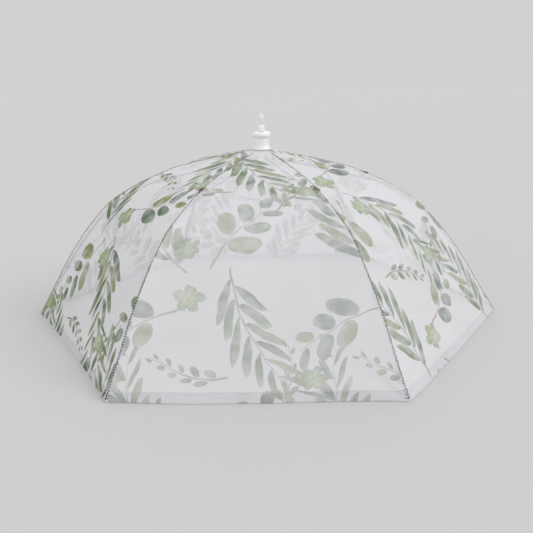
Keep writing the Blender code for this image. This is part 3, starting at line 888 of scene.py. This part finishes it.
@dataclass
class Canopy:
    """Six gores of printed net with their seams, hem and stitches."""

    finishes: dict[str, Material]
    seam: SeamLine = field(default_factory=SeamLine)
    rows: int = 116
    columns: int = 32
    thickness: float = 0.0008
    billows: tuple[float, ...] = (0.0014, 0.0046, 0.0075, 0.0030, 0.0000, 0.0012)
    eases: tuple[float, ...] = (0.0, 0.0, 0.0, 0.0030, 0.0, 0.0)
    swell: float = 0.0012
    pucker: float = 0.00042
    pucker_length: float = 0.0135
    corner_fold: float = 0.0011
    hem_wave: float = 0.0013
    flare_reach: float = 0.05
    deep_from: float = 0.185
    deep_over: float = 0.130
    hem_depth: float = 0.011
    layer: float = 0.00030
    allowance: float = 0.0026
    allowance_low: float = 0.0068
    hinge: tuple[float, float, float] = (0.009426, 0.0, 0.204675)
    hinge_slope: float = math.radians(40.4)
    turn_start: float = -0.020
    turn_end: float = 0.180
    turn_lean: float = -0.34
    hem_stitch: float = 0.0027
    hem_pitch: float = 0.0036
    seam_stitch: float = 0.0021
    seam_pitch: float = 0.0029
    thread_radius: float = 0.00030
    ridge_thread: float = 0.00056
    thread_off: float = 0.0013
    overcast: float = 0.60
    hem_flares: tuple[tuple[float, float], ...] = (
        (0.0015, 0.3), (0.0010, -0.4), (0.0020, 0.2), (-0.0034, 0.5), (0.0036, -1.2), (0.0026, -0.5),
    )
    lays: tuple[tuple[float, float, float, float], ...] = (
        (0.020, 0.085, 0.0, 1.00), (0.131, 0.210, 180.0, 1.00), (0.205, 0.030, 8.0, 1.00),
        (0.092, 0.152, 176.0, 1.12), (0.166, 0.096, 0.0, 0.60), (0.048, 0.236, 183.0, 0.86),
    )

    def slack(self, gore: int, run: float, u: float) -> float:
        """How far the net lies inside its taut surface.

        Args:
            gore: The gore's number.
            run: Metres down from the crown.
            u: Place across the gore, from -1 to 1.

        Returns:
            The depth in metres.
        """
        down = run / self.seam.length
        edge = 1.0 - u * u
        depth = -self.billows[gore] * max(math.sin(math.pi * down), 0.0) ** 0.8 * edge
        ends = min(1.0, 12.0 * down) * min(1.0, 0.25 + 9.0 * (1.0 - down))
        ripple = noise.noise(Vector((1.7 * u + 7.3 * gore, 4.2 * down, 0.37 * gore)))
        fine = noise.noise(Vector((5.1 * u + 3.1 * gore, 11.0 * down, 1.7 + gore)))
        depth += self.swell * (ripple + 0.35 * fine) * min(1.0, 3.0 * edge) * ends
        beside = (1.0 - abs(u)) * 0.5 * self.seam.at(run).x
        hand = 1.0 if u > 0.0 else -1.0
        wave = math.sin(FULL_TURN * run / self.pucker_length + 1.9 * gore + hand)
        wave *= 0.6 + 0.6 * noise.noise(Vector((0.0, 30.0 * run, gore + 0.5 * hand)))
        depth += self.pucker * wave * math.exp(-beside / 0.011) * (1.0 - math.exp(-beside / 0.0016))
        rise = self.seam.length - run
        reach = math.hypot(beside, rise)
        fold = math.sin(7.0 * math.atan2(rise, beside) + 0.8 * gore) * math.exp(-reach / 0.045)
        return depth + self.corner_fold * fold * min(1.0, reach / 0.018) * (1.0 - math.exp(-beside / 0.004))

    def lift(self, gore: int, run: float, u: float) -> float:
        """How far the cloth is drawn up near the hem, which waves a little."""
        wave = 0.5 + noise.noise(Vector((2.6 * u + 2.2 * gore, 0.4 * gore, 3.3)))
        wave *= self.hem_wave * min(1.0, 6.0 * (1.0 - abs(u)))
        return max(wave, 0.0) * max(0.0, 1.0 - (self.seam.length - run) / 0.030)

    def ridge(self, rib: int, run: float, hold: float) -> Vector:
        """The seam's point in its rib's plane, eased off the rib where it is loose."""
        slope = self.seam.slope(run)
        ease = self.eases[rib] * max(math.sin(math.pi * run / self.seam.length), 0.0) * hold
        return self.seam.at(run) + Vector((-slope.z, 0.0, slope.x)) * ease

    def normal(self, half: Half, run: float) -> Vector:
        """The taut surface's outward normal, in the rib's own frame."""
        return (self.seam.slope(run).cross(half.chord) * half.hand).normalized()

    def spot(self, half: Half, run: float, share: float, out: float = 0.0) -> Vector:
        """A point of the cloth.

        Args:
            half: The half gore.
            run: Metres down from the crown.
            share: Place from the seam, 0, to the gore's middle, 1.
            out: Metres outside the cloth.

        Returns:
            The point in the cover's frame.
        """
        length = self.seam.length
        kept = min(run, length)
        chord = half.chord
        u = half.hand * (share - 1.0)
        amount, skew = self.hem_flares[half.gore]
        flare = amount * (1.0 - u * u) * (1.0 + skew * u) * math.exp((kept - length) / self.flare_reach)
        depth = self.slack(half.gore, run, u) + 0.5 * self.thickness - out
        point = self.ridge(half.rib, kept, (1.0 - share) ** 2)
        point += chord * (0.5 * self.seam.at(kept).x * share) - self.normal(half, run) * depth
        point += Vector((math.cos(HALF_STEP), half.hand * math.sin(HALF_STEP), 0.0)) * flare
        slope = self.seam.slope(run)
        level = (slope - chord * slope.dot(chord)).normalized()
        point -= level * (self.lift(half.gore, run, u) + min(length - run, 0.0))
        return half.turn @ point

    def lay(self, half: Half, across: float, rise: float) -> Vector:
        """Place a point of the cut cloth on the printed roll.

        Args:
            half: The half gore.
            across: Metres from the gore's middle, towards the seam.
            rise: Metres up from the hem's fold.

        Returns:
            Its place on the roll, with the print's strength as the third value.
        """
        x, y, turn, strength = self.lays[half.gore]
        climb = min(max((rise - self.deep_from) / self.deep_over, 0.0), 1.0)
        strength += (1.0 - strength) * climb * climb * (3.0 - 2.0 * climb)
        flat = Matrix.Rotation(math.radians(turn), 3, "Z") @ Vector((-half.hand * across, rise, 0.0))
        return Vector((flat.x + x, flat.y + y, strength))

    def fold(self, piece: Piece, half: Half) -> None:
        """Work out the hinge line between a cloth piece's rib and its half gore, which is not used, and bake
        the piece's place into its mesh.
        """
        upward = Vector((math.sin(self.hinge_slope), 0.0, math.cos(self.hinge_slope)))
        across = SIDEWAYS * half.hand + upward * self.turn_lean
        start, end = (half.turn @ (Vector(self.hinge) + across * (reach / across.length_squared))
                      for reach in (self.turn_start, self.turn_end))
        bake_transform(piece)

    def cut_cloth(self, kind: str, half: Half, rows: int, columns: int, cut: Cut) -> Piece:
        """Make a strip or panel of cloth from a grid.

        Args:
            kind: The start of the piece's name.
            half: The half gore.
            rows: Steps down the cloth.
            columns: Steps across it.
            cut: Gives run, share, outside, flat across and flat rise for a
                place on the grid, each way from 0 to 1.

        Returns:
            The piece, with its flat pattern and its height over the hem's fold.
        """
        shape = bmesh.new()
        bmesh.ops.create_grid(shape, x_segments=rows, y_segments=columns, size=0.5)
        flat = shape.verts.layers.float_vector.new("flat_pattern")
        height = shape.verts.layers.float.new("hem_rise")
        for corner in shape.verts:
            run, share, out, across, rise = cut(corner.co.x + 0.5, corner.co.y + 0.5)
            corner[flat] = self.lay(half, across, rise)
            corner[height] = self.seam.length - run
            corner.co = self.spot(half, run, share, out)
        shape.normal_update()
        if sum(face.normal.z for face in shape.faces) < 0.0:
            bmesh.ops.reverse_faces(shape, faces=shape.faces)
        return make_piece(f"{kind}_{half.tag}", shape, self.finishes["net_cloth"])

    def half_gore(self, half: Half) -> Piece:
        """Make one half gore of net, from the seam to the gore's middle."""

        def cut(down: float, share: float) -> tuple[float, float, float, float, float]:
            """Spread the rows evenly, and the columns closer by the seam."""
            run = down * self.seam.length
            near = 0.65 * share + 0.35 * share * share
            return run, near, 0.0, (1.0 - near) * 0.5 * self.seam.at(run).x, self.seam.length - run

        return self.cut_cloth("printed_net", half, self.rows, self.columns, cut)

    def hem(self, half: Half) -> Piece:
        """Make the hem: the cloth's edge turned up inside and tucked."""
        depth, gap = self.hem_depth, self.layer
        profile = (
            (0.0010, gap), (0.0004, gap), (-0.0001, 0.8 * gap), (-0.0003, 0.0), (-0.0001, -0.8 * gap),
            (0.0004, -gap), *((share * depth, -gap) for share in (0.2, 0.4, 0.6, 0.8, 0.97)),
            (depth, -1.4 * gap), *((share * depth, -2.0 * gap) for share in (0.97, 0.7, 0.4, 0.15)),
        )
        fold, tuck = 4, 11
        last = len(profile) - 1

        def cut(turned: float, share: float) -> tuple[float, float, float, float, float]:
            """Follow the profile round the fold."""
            index = round(turned * last)
            rise, out = profile[index]
            run = self.seam.length - rise
            travel = rise if index < fold else -rise
            if index > tuck:
                travel = rise - 2.0 * depth
            return run, share, out, (1.0 - share) * 0.5 * self.seam.at(min(run, self.seam.length)).x, travel

        return self.cut_cloth("net_hem", half, last, 54, cut)

    def seam_allowance(self, half: Half) -> Piece:
        """Make the doubled allowance beside the seam, wider near the corner."""

        def cut(down: float, turned: float) -> tuple[float, float, float, float, float]:
            """Turn the strip under at the seam, one layer inside the other."""
            run = 0.012 + down * (self.seam.length - 0.0135)
            radius = 0.5 * self.seam.at(run).x
            wide = self.allowance + (self.allowance_low - self.allowance) * down ** 2.4
            wide *= 1.0 + 0.10 * noise.noise(Vector((40.0 * run, half.rib, half.hand)))
            beside = wide * min(2.0 * turned, 2.0 - 2.0 * turned)
            out = -self.layer if turned <= 0.5 else -1.9 * self.layer
            return run, min(beside / radius, 1.0), out, radius + wide * 2.0 * turned, self.seam.length - run

        return self.cut_cloth("seam_allowance", half, 96, 6, cut)

    def stitches(self, half: Half) -> Piece:
        """Sew the seam, the hem and the corner with single stitches."""
        sewing = Sewing()
        self.seam_rows(sewing, half)
        self.hem_row(sewing, half)
        self.corner_tacks(sewing, half)
        threads = (self.finishes[name] for name in ("light_sewing", "dark_sewing", "brown_whipping"))
        return make_piece(f"stitches_{half.tag}", sewing.done(), *threads)

    def seam_rows(self, sewing: Sewing, half: Half) -> None:
        """Sew a light row along the seam and, on its left, the heavy thread of the ridge."""
        run = 0.016
        count = 0
        while run < self.seam.length - 0.002:
            normal = half.turn @ self.normal(half, run)
            along = half.turn @ self.seam.slope(run)
            radius = 0.5 * self.seam.at(run).x
            jitter = noise.noise(Vector((700.0 * run, half.rib, half.hand)))
            if half.side is Side.LEFT:
                low = run > self.overcast * self.seam.length
                off = self.thread_off * (0.35 if low else 1.0)
                swing = half.turn @ (SIDEWAYS * ((0.9 if low else 0.12) * (-1) ** count))
                sewing.stitch(self.spot(half, run, off / radius, 0.6 * self.ridge_thread),
                              along + swing + normal * 0.03 * jitter, normal,
                              (1.3 if low else 1.1) * self.seam_stitch * (1.0 + 0.3 * jitter),
                              self.ridge_thread * (1.0 + 0.45 * jitter), 1 if low or count % 3 == 0 else 2)
            if count % 2 == 0 or run > 0.62 * self.seam.length:
                beside = 0.0014 + 0.0002 * jitter
                centre = self.spot(half, run + 0.5 * self.seam_pitch, beside / radius,
                                   0.6 * self.thread_radius)
                sewing.stitch(centre, along, normal, self.seam_stitch, 1.1 * self.thread_radius)
            run += self.seam_pitch
            count += 1

    def hem_row(self, sewing: Sewing, half: Half) -> None:
        """Sew the hem down near its upper edge."""
        run = self.seam.length - 0.92 * self.hem_depth
        steps = int(0.5 * self.seam.at(run).x / self.hem_pitch)
        for index in range(steps):
            share = (index + 0.5) / steps
            centre, after = (self.spot(half, run, place, 0.5 * self.thread_radius)
                             for place in (share, share + 0.01))
            sewing.stitch(centre, after - centre, half.turn @ self.normal(half, run), self.hem_stitch,
                          self.thread_radius)

    def corner_tacks(self, sewing: Sewing, half: Half) -> None:
        """Sew the rib's end piece into the corner with crossing stitches."""
        out = 0.7 * self.thread_radius
        for index in range(9):
            run = self.seam.length - 0.0022 - 0.00125 * index
            radius = 0.5 * self.seam.at(run).x
            beside = 0.0022 + 0.0005 * noise.noise(Vector((half.rib, index, half.hand)))
            centre = self.spot(half, run, beside / radius, out)
            after = self.spot(half, run + 0.0006 * (-1) ** index, (beside + 0.001) / radius, out)
            sewing.stitch(centre, after - centre, half.turn @ self.normal(half, run), 0.0030,
                          self.thread_radius, 1 if index % 3 == 1 else 0)

    def flat_area(self) -> float:
        """The area that one half gore is cut to, by its drop and its mean width."""
        steps = 200
        line = [self.seam.at(index / steps * self.seam.length) for index in range(steps + 1)]
        drop = sum(math.hypot((low.x - high.x) * math.cos(HALF_STEP), low.z - high.z)
                   for high, low in zip(line, line[1:]))
        middles = [(index + 0.5) / steps * self.seam.length for index in range(steps)]
        width = sum(self.seam.at(run).x for run in middles) / steps
        return 0.5 * width * drop

    def make(self) -> None:
        """Make all the cloth and sew it."""
        for half in (Half(rib, side) for rib in range(RIB_COUNT) for side in Side):
            net = self.half_gore(half)
            joined = [self.hem(half), self.seam_allowance(half), self.stitches(half)]
            for piece, slot in zip((net, *joined), ("net", "net", "net", "tie_thread")):
                self.fold(piece, half)
            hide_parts(f"net_panel_{half.tag}")
            self.flat_area()


# --------------------------------------------------------------------------
# Crown, cord and wire frame
# --------------------------------------------------------------------------


@dataclass
class Crown:
    """The cap, its bead, and the pull cord with its knots."""

    finishes: dict[str, Material]
    skirt_radius: float = 0.0120
    skirt_bottom: float = 0.2153
    skirt_drop: float = 0.0010
    skirt_lip: float = 0.0010
    waist: float = 0.2205
    neck_radius: float = 0.0092
    flange_bottom: float = 0.2289
    flange_radius: float = 0.0116
    cap_top: float = 0.2362
    spigot_radius: float = 0.0058
    spigot_bottom: float = 0.2142
    bore: float = 0.0017
    bead_radius: float = 0.00425
    bead_bottom: float = 0.2365
    bead_top: float = 0.2445
    cord_radius: float = 0.0013
    lay_length: float = 0.0062
    knot_radius: float = 0.00215
    knot_top: float = 0.2593
    runner_top: float = 0.1559
    runner_bottom: float = 0.1248
    hub_bottom: float = 0.198

    def cap(self) -> None:
        """Turn the cap, with a flared skirt and a fat rounded flange."""
        foot = self.skirt_bottom - self.skirt_drop
        rim = foot + self.skirt_lip
        flare = self.skirt_radius - self.neck_radius
        half = 0.5 * (self.cap_top - self.flange_bottom)
        bulge = self.flange_radius - self.neck_radius + 0.0012
        shares = [index / 7.0 for index in range(1, 7)]
        angles = [math.pi * (0.092 * index - 0.42) for index in range(11)]
        profile = [
            (self.bore, self.cap_top - 0.0006), (self.bore, self.spigot_bottom),
            (self.spigot_radius, self.spigot_bottom), (self.spigot_radius, self.skirt_bottom),
            (self.spigot_radius + 0.0012, self.skirt_bottom), (self.skirt_radius, foot),
            (self.skirt_radius, rim),
            *((self.neck_radius + flare * (1.0 - share) ** 1.7, rim + (self.waist - rim) * share)
              for share in shares),
            (self.neck_radius, self.waist), (self.neck_radius, self.flange_bottom),
            *((self.flange_radius - bulge * (1.0 - math.cos(angle)),
               self.flange_bottom + half + half * math.sin(angle)) for angle in angles),
            (self.bead_radius + 0.0014, self.cap_top), (self.bead_radius + 0.0006, self.cap_top - 0.0006),
        ]
        made = make_piece("moulded_cap", turned_piece(profile, 96, 0.00025), self.finishes["milky_plastic"])
        fasten(made, "hub", "top_cap")

    def bead(self) -> None:
        """Turn the domed bead that the cord comes out of."""
        tall = self.bead_top - self.bead_bottom
        profile = [(self.bore, self.bead_top), (self.bore, self.bead_bottom)]
        for share in (index / 12.0 for index in range(13)):
            wide = 1.0 - 0.50 * share ** 5.0 - 0.10 * (1.0 - share) ** 6
            profile.append((self.bead_radius * wide, self.bead_bottom + tall * share))
        shape = turned_piece(profile, 64, 0.0002, 50.0)
        made = make_piece("domed_bead", shape, self.finishes["milky_plastic"])
        fasten(made, "hub", "cap_bead")

    def strands(self, shape: Mesh, path: Sequence[Vector], cord_radius: float) -> None:
        """Lay three twisted strands along a path.

        Args:
            shape: The mesh that they are added to.
            path: The cord's centre line.
            cord_radius: The cord's outer radius.
        """
        runs = [0.0]
        for before, point in zip(path, path[1:]):
            runs.append(runs[-1] + (point - before).length)
        frames = frames_on(path)
        for strand in range(3):
            line = [turn @ polar(0.5 * cord_radius, FULL_TURN * (run / self.lay_length + strand / 3.0))
                    for run, turn in zip(runs, frames)]
            sweep(shape, line, lambda share: 0.52 * cord_radius, 8)

    def coil(self, steps: int, turns: float, fill: tuple[float, float, float],
             climb: tuple[float, float, float]) -> list[Vector]:
        """Wind the cord round the axis as the bulk of a knot.

        Args:
            steps: How many steps it has.
            turns: How many times it goes round.
            fill: Where on a sine its width starts, how far it goes, and a power.
            climb: Its first height, its rise and how far it sways.

        Returns:
            The coil's centre line.
        """
        path = []
        for share in (index / steps for index in range(steps + 1)):
            angle = FULL_TURN * turns * share
            wide = self.knot_radius * math.sin(math.pi * (fill[0] + fill[1] * share)) ** fill[2]
            path.append(polar(wide, angle, climb[0] + climb[1] * share + climb[2] * math.sin(angle)))
        return path

    def cord(self) -> None:
        """Lay the pull cord down the axis, from the bead to the runner."""
        shape = bmesh.new()
        steps = 190
        tall = self.bead_top - self.runner_bottom
        path = [UP * (self.bead_top - tall * index / steps) for index in range(steps + 1)]
        self.strands(shape, path, self.cord_radius)
        made = make_piece("twisted_cord", shape, self.finishes["cotton_cord"])
        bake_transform(made)
        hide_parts("pull_cord")

    def top_knot(self) -> None:
        """Tie the doubled cord into a knot on the bead, with a short frayed end."""
        shape = bmesh.new()
        base = self.bead_top + 0.0003
        fat = 1.12 * self.cord_radius
        wide = 0.5 * self.cord_radius + 0.00045
        for hand in (1.0, -1.0):
            neck = [polar(hand * wide, 0.5 * index, base + fat + 0.00062 * index) for index in range(9)]
            self.strands(shape, eased(neck, 2), fat)
        path = self.coil(56, 2.1, (0.24, 0.66, 0.5), (base + 0.0062, 0.0042, 0.0007))
        path += [Vector((-0.00022 * index, 0.0001 * index, base + 0.0104 + 0.00042 * index))
                 for index in range(1, 7)]
        smooth = eased(path, 3)
        self.strands(shape, smooth, fat)
        end = smooth[-1]
        for index in range(15):
            lean = polar(0.00060, 2.4 * index) * (0.4 + 0.07 * index)
            tall = self.knot_top - end.z - 0.00035 * (index % 5)
            line = [end + lean * (0.4 + 0.6 * part) * (1.0 - 0.55 * part * part)
                    + Vector((-0.0007 * part * part, 0.0, tall * part - 0.0008))
                    for part in (count / 6.0 for count in range(7))]
            sweep(shape, line, lambda share: 0.00036 - 0.00022 * share, 5)
        made = make_piece("tied_knot_top", shape, self.finishes["cotton_cord"])
        fasten(made, "hub", "cord_knot_top")

    def lower_knot(self) -> None:
        """Tie the stopper knot under the runner, with a short tail."""
        shape = bmesh.new()
        top = self.runner_bottom - 0.0003
        path = [Vector((0.0, 0.0, top)), Vector((0.0, 0.0, top - 0.0006)),
                Vector((0.0002, 0.0, top - 0.0012))]
        path += self.coil(60, 2.3, (0.16, 0.68, 0.6), (top - 0.0018, -0.0034, -0.0006))
        path += [Vector((0.0004 * index, 0.0001 * index, top - 0.0052 - 0.00052 * index))
                 for index in range(1, 5)]
        self.strands(shape, eased(path, 3), self.cord_radius)
        made = make_piece("tied_knot_bottom", shape, self.finishes["cotton_cord"])
        fasten(made, "runner", "cord_knot_bottom")

    def make(self) -> None:
        """Make every piece of the crown."""
        self.cap()
        self.bead()
        self.cord()
        self.top_knot()
        self.lower_knot()


@dataclass
class WireFrame:
    """The ribs, stretchers, clips, ties and end pieces."""

    finishes: dict[str, Material]
    knuckle: tuple[float, float, float] = (0.130916, 0.0, 0.176453)
    run: tuple[float, float, float] = (0.122916, 0.0, -0.026547)
    clip_length: float = 0.009
    thread_radius: float = 0.00042
    wrap_radius: float = 0.00185
    over: float = 0.0064
    tangles: tuple[float, ...] = (0.8, 0.7, 0.9, 1.0, 0.6, 1.1)

    def dress_nodes(self) -> None:
        """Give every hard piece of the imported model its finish."""
        choice = {"top_hub": "white_plastic", "centre_tube": "white_plastic", "runner": "white_plastic",
                  "hub_ring_wire": "spring_wire"}
        for rib in range(1, RIB_COUNT + 1):
            choice |= {f"rib_{rib}": "spring_wire", f"rib_clip_{rib}": "spring_wire",
                       f"rib_tip_{rib}": "white_plastic", f"stretcher_{rib}": "bright_wire"}
        for name, finish in choice.items():
            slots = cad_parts[name].data.materials
            slots.clear()
            slots.append(self.finishes[finish])
            LOG.info("%s: dressed in %s", name, finish)

    def tie(self, rib: int) -> None:
        """Whip brown thread round the rib and over the net's ridge, with loose ends."""
        along = Vector(self.run).normalized()
        upright = SIDEWAYS.cross(along)
        upright *= math.copysign(1.0, upright.z)
        foot = Vector(self.knuckle) - along * (0.5 * self.clip_length + 0.0032)
        centre = foot + upright * (0.5 * (self.over - self.wrap_radius))
        tall = 0.5 * (self.over + self.wrap_radius)
        turns = 5.5 + 0.5 * (rib % 3)
        steps = int(turns * 20)
        path = []
        for share in (index / steps for index in range(steps + 1)):
            angle = FULL_TURN * turns * share + rib
            spread = 0.0026 * math.sin(FULL_TURN * (1.3 * share + 0.13 * rib))
            wide = self.wrap_radius + 0.00040 * math.sin(9.0 * share + rib)
            high = tall + 0.00035 * math.sin(7.0 * share + 2.0 * rib)
            lean = 0.35 * spread * math.sin(angle) * (-1) ** rib
            path.append(centre + along * (spread + lean) + SIDEWAYS * (wide * math.cos(angle))
                        + upright * (high * math.sin(angle)))
        shape = bmesh.new()
        sweep(shape, path, lambda share: self.thread_radius, 6)
        top = centre + upright * (tall + 0.4 * self.thread_radius)
        sweep(shape, self.tangle(rib, top, along, upright), lambda share: 0.8 * self.thread_radius, 6)
        for hand in (1.0, -1.0):
            swing = along * (0.6 * hand) + SIDEWAYS * (0.9 * hand * (-1) ** rib)
            line = [top + swing * (0.0050 * part) - upright * (0.0019 * part * part)
                    + along * (0.001 * hand * part * part) for part in (index / 9.0 for index in range(10))]
            sweep(shape, line, lambda share: self.thread_radius * (1.0 - 0.4 * share), 6)
        bmesh.ops.transform(shape, matrix=rib_turn(rib, 4), verts=shape.verts)
        made = make_piece(f"thread_tie_{rib + 1}", shape, self.finishes["brown_whipping"])
        fasten(made, f"rib_{rib + 1}", f"rib_tie_{rib + 1}")

    def tangle(self, rib: int, top: Vector, along: Vector, upright: Vector) -> list[Vector]:
        """Loop the thread's spare length loosely on top of the knot."""
        wide = self.tangles[rib]
        path = []
        for angle in (FULL_TURN * index / 140.0 for index in range(141)):
            run = 0.0054 * wide * math.sin(2.0 * angle + rib) + 0.0012 * math.sin(5.0 * angle)
            aside = 0.0021 * wide * math.sin(3.0 * angle + 1.7 * rib) + 0.0007 * math.cos(7.0 * angle)
            rise = 0.00055 + 0.00055 * math.sin(7.0 * angle + rib) - 0.12 * abs(aside)
            path.append(top + along * (run + 0.002) + SIDEWAYS * aside + upright * rise)
        return path

    def make(self) -> None:
        """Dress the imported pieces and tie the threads."""
        self.dress_nodes()
        for rib in range(RIB_COUNT):
            self.tie(rib)


# --------------------------------------------------------------------------
# Studio
# --------------------------------------------------------------------------


@dataclass(frozen=True)
class Lamp:
    """A broad soft light of the studio."""

    name: str
    source: tuple[float, float, float]
    spread: float
    strength: float


@dataclass
class Studio:
    """Floor, soft light and the camera of the photograph."""

    distance: float = 0.9643
    elevation: float = math.radians(19.909)
    azimuth: float = math.radians(2.407)
    roll: float = math.radians(1.2277)
    tilt: float = math.radians(-3.577)
    pan: float = math.radians(0.190)
    lens: float = 49.16
    sensor: float = 36.0
    floor_size: float = 12.0
    floor_colour: Colour = (0.620, 0.620, 0.618)
    backdrop: Colour = (0.636, 0.636, 0.632)
    ambient: float = 0.56
    lamps: tuple[Lamp, ...] = (
        Lamp("key_light", (1.5, -0.45, 1.25), 35.0, 1.20),
        Lamp("fill_light", (-1.1, -1.2, 0.8), 60.0, 0.50),
        Lamp("back_light", (-0.1, 1.3, 1.3), 60.0, 0.55),
    )

    def floor(self) -> None:
        """Lay the plain floor."""
        shape = bmesh.new()
        bmesh.ops.create_grid(shape, x_segments=2, y_segments=2, size=0.5 * self.floor_size)
        material, graph, shader = blank_material("plain_floor")
        graph.fill(shader, {"Base Color": self.floor_colour, "Roughness": 0.9})
        make_piece("studio_floor", shape, material)

    def light(self) -> None:
        """Hang the lamps and fill the world with soft light."""
        for lamp in self.lamps:
            light = bpy.data.lights.new(lamp.name, "SUN")
            light.angle = math.radians(lamp.spread)
            light.energy = lamp.strength
            made = bpy.data.objects.new(lamp.name, light)
            made.location = lamp.source
            made.rotation_euler = (-made.location).to_track_quat("-Z", "Y").to_euler()
            bpy.context.scene.collection.objects.link(made)
        world = bpy.data.worlds.new("studio_world")
        world.use_nodes = True
        bpy.context.scene.world = world
        graph = Graph(world.node_tree)
        path = graph.outputs(graph.node("ShaderNodeLightPath"))
        seen = graph.math("MAXIMUM", path["Is Camera Ray"], path["Is Glossy Ray"])
        seen = graph.math("MAXIMUM", seen, path["Is Transmission Ray"])
        colour = graph.mix(seen, (self.ambient,) * 3, self.backdrop)
        graph.fill(world.node_tree.nodes["Background"], {"Color": colour})

    def camera(self) -> None:
        """Set the camera as the photograph was taken."""
        sin_a, cos_a = math.sin(self.azimuth), math.cos(self.azimuth)
        sin_e, cos_e = math.sin(self.elevation), math.cos(self.elevation)
        back = Vector((sin_a * cos_e, -cos_a * cos_e, sin_e))
        right = Vector((cos_a, sin_a, 0.0))
        rows = Matrix((right, back.cross(right), back))
        turn = (Matrix.Rotation(self.roll, 3, "Z") @ Matrix.Rotation(self.tilt, 3, "X")
                @ Matrix.Rotation(self.pan, 3, "Y"))
        lens = bpy.data.cameras.new("photo_camera")
        lens.lens = self.lens
        lens.sensor_width = self.sensor
        lens.clip_start = 0.01
        made = bpy.data.objects.new("photo_camera", lens)
        made.matrix_world = Matrix.Translation(back * self.distance) @ (turn @ rows).transposed().to_4x4()
        bpy.context.scene.collection.objects.link(made)
        bpy.context.scene.camera = made

    def make(self) -> None:
        """Set up the studio."""
        self.camera()
        self.floor()
        self.light()
        bpy.context.scene.view_settings.view_transform = "Standard"


def main() -> None:
    """Build the cover's looks and its studio."""
    logging.basicConfig(level=logging.INFO, format="%(message)s")
    Studio().make()
    finishes = make_finishes()
    WireFrame(finishes).make()
    Crown(finishes).make()
    Canopy(finishes).make()


if __name__ == "__main__":
    main()
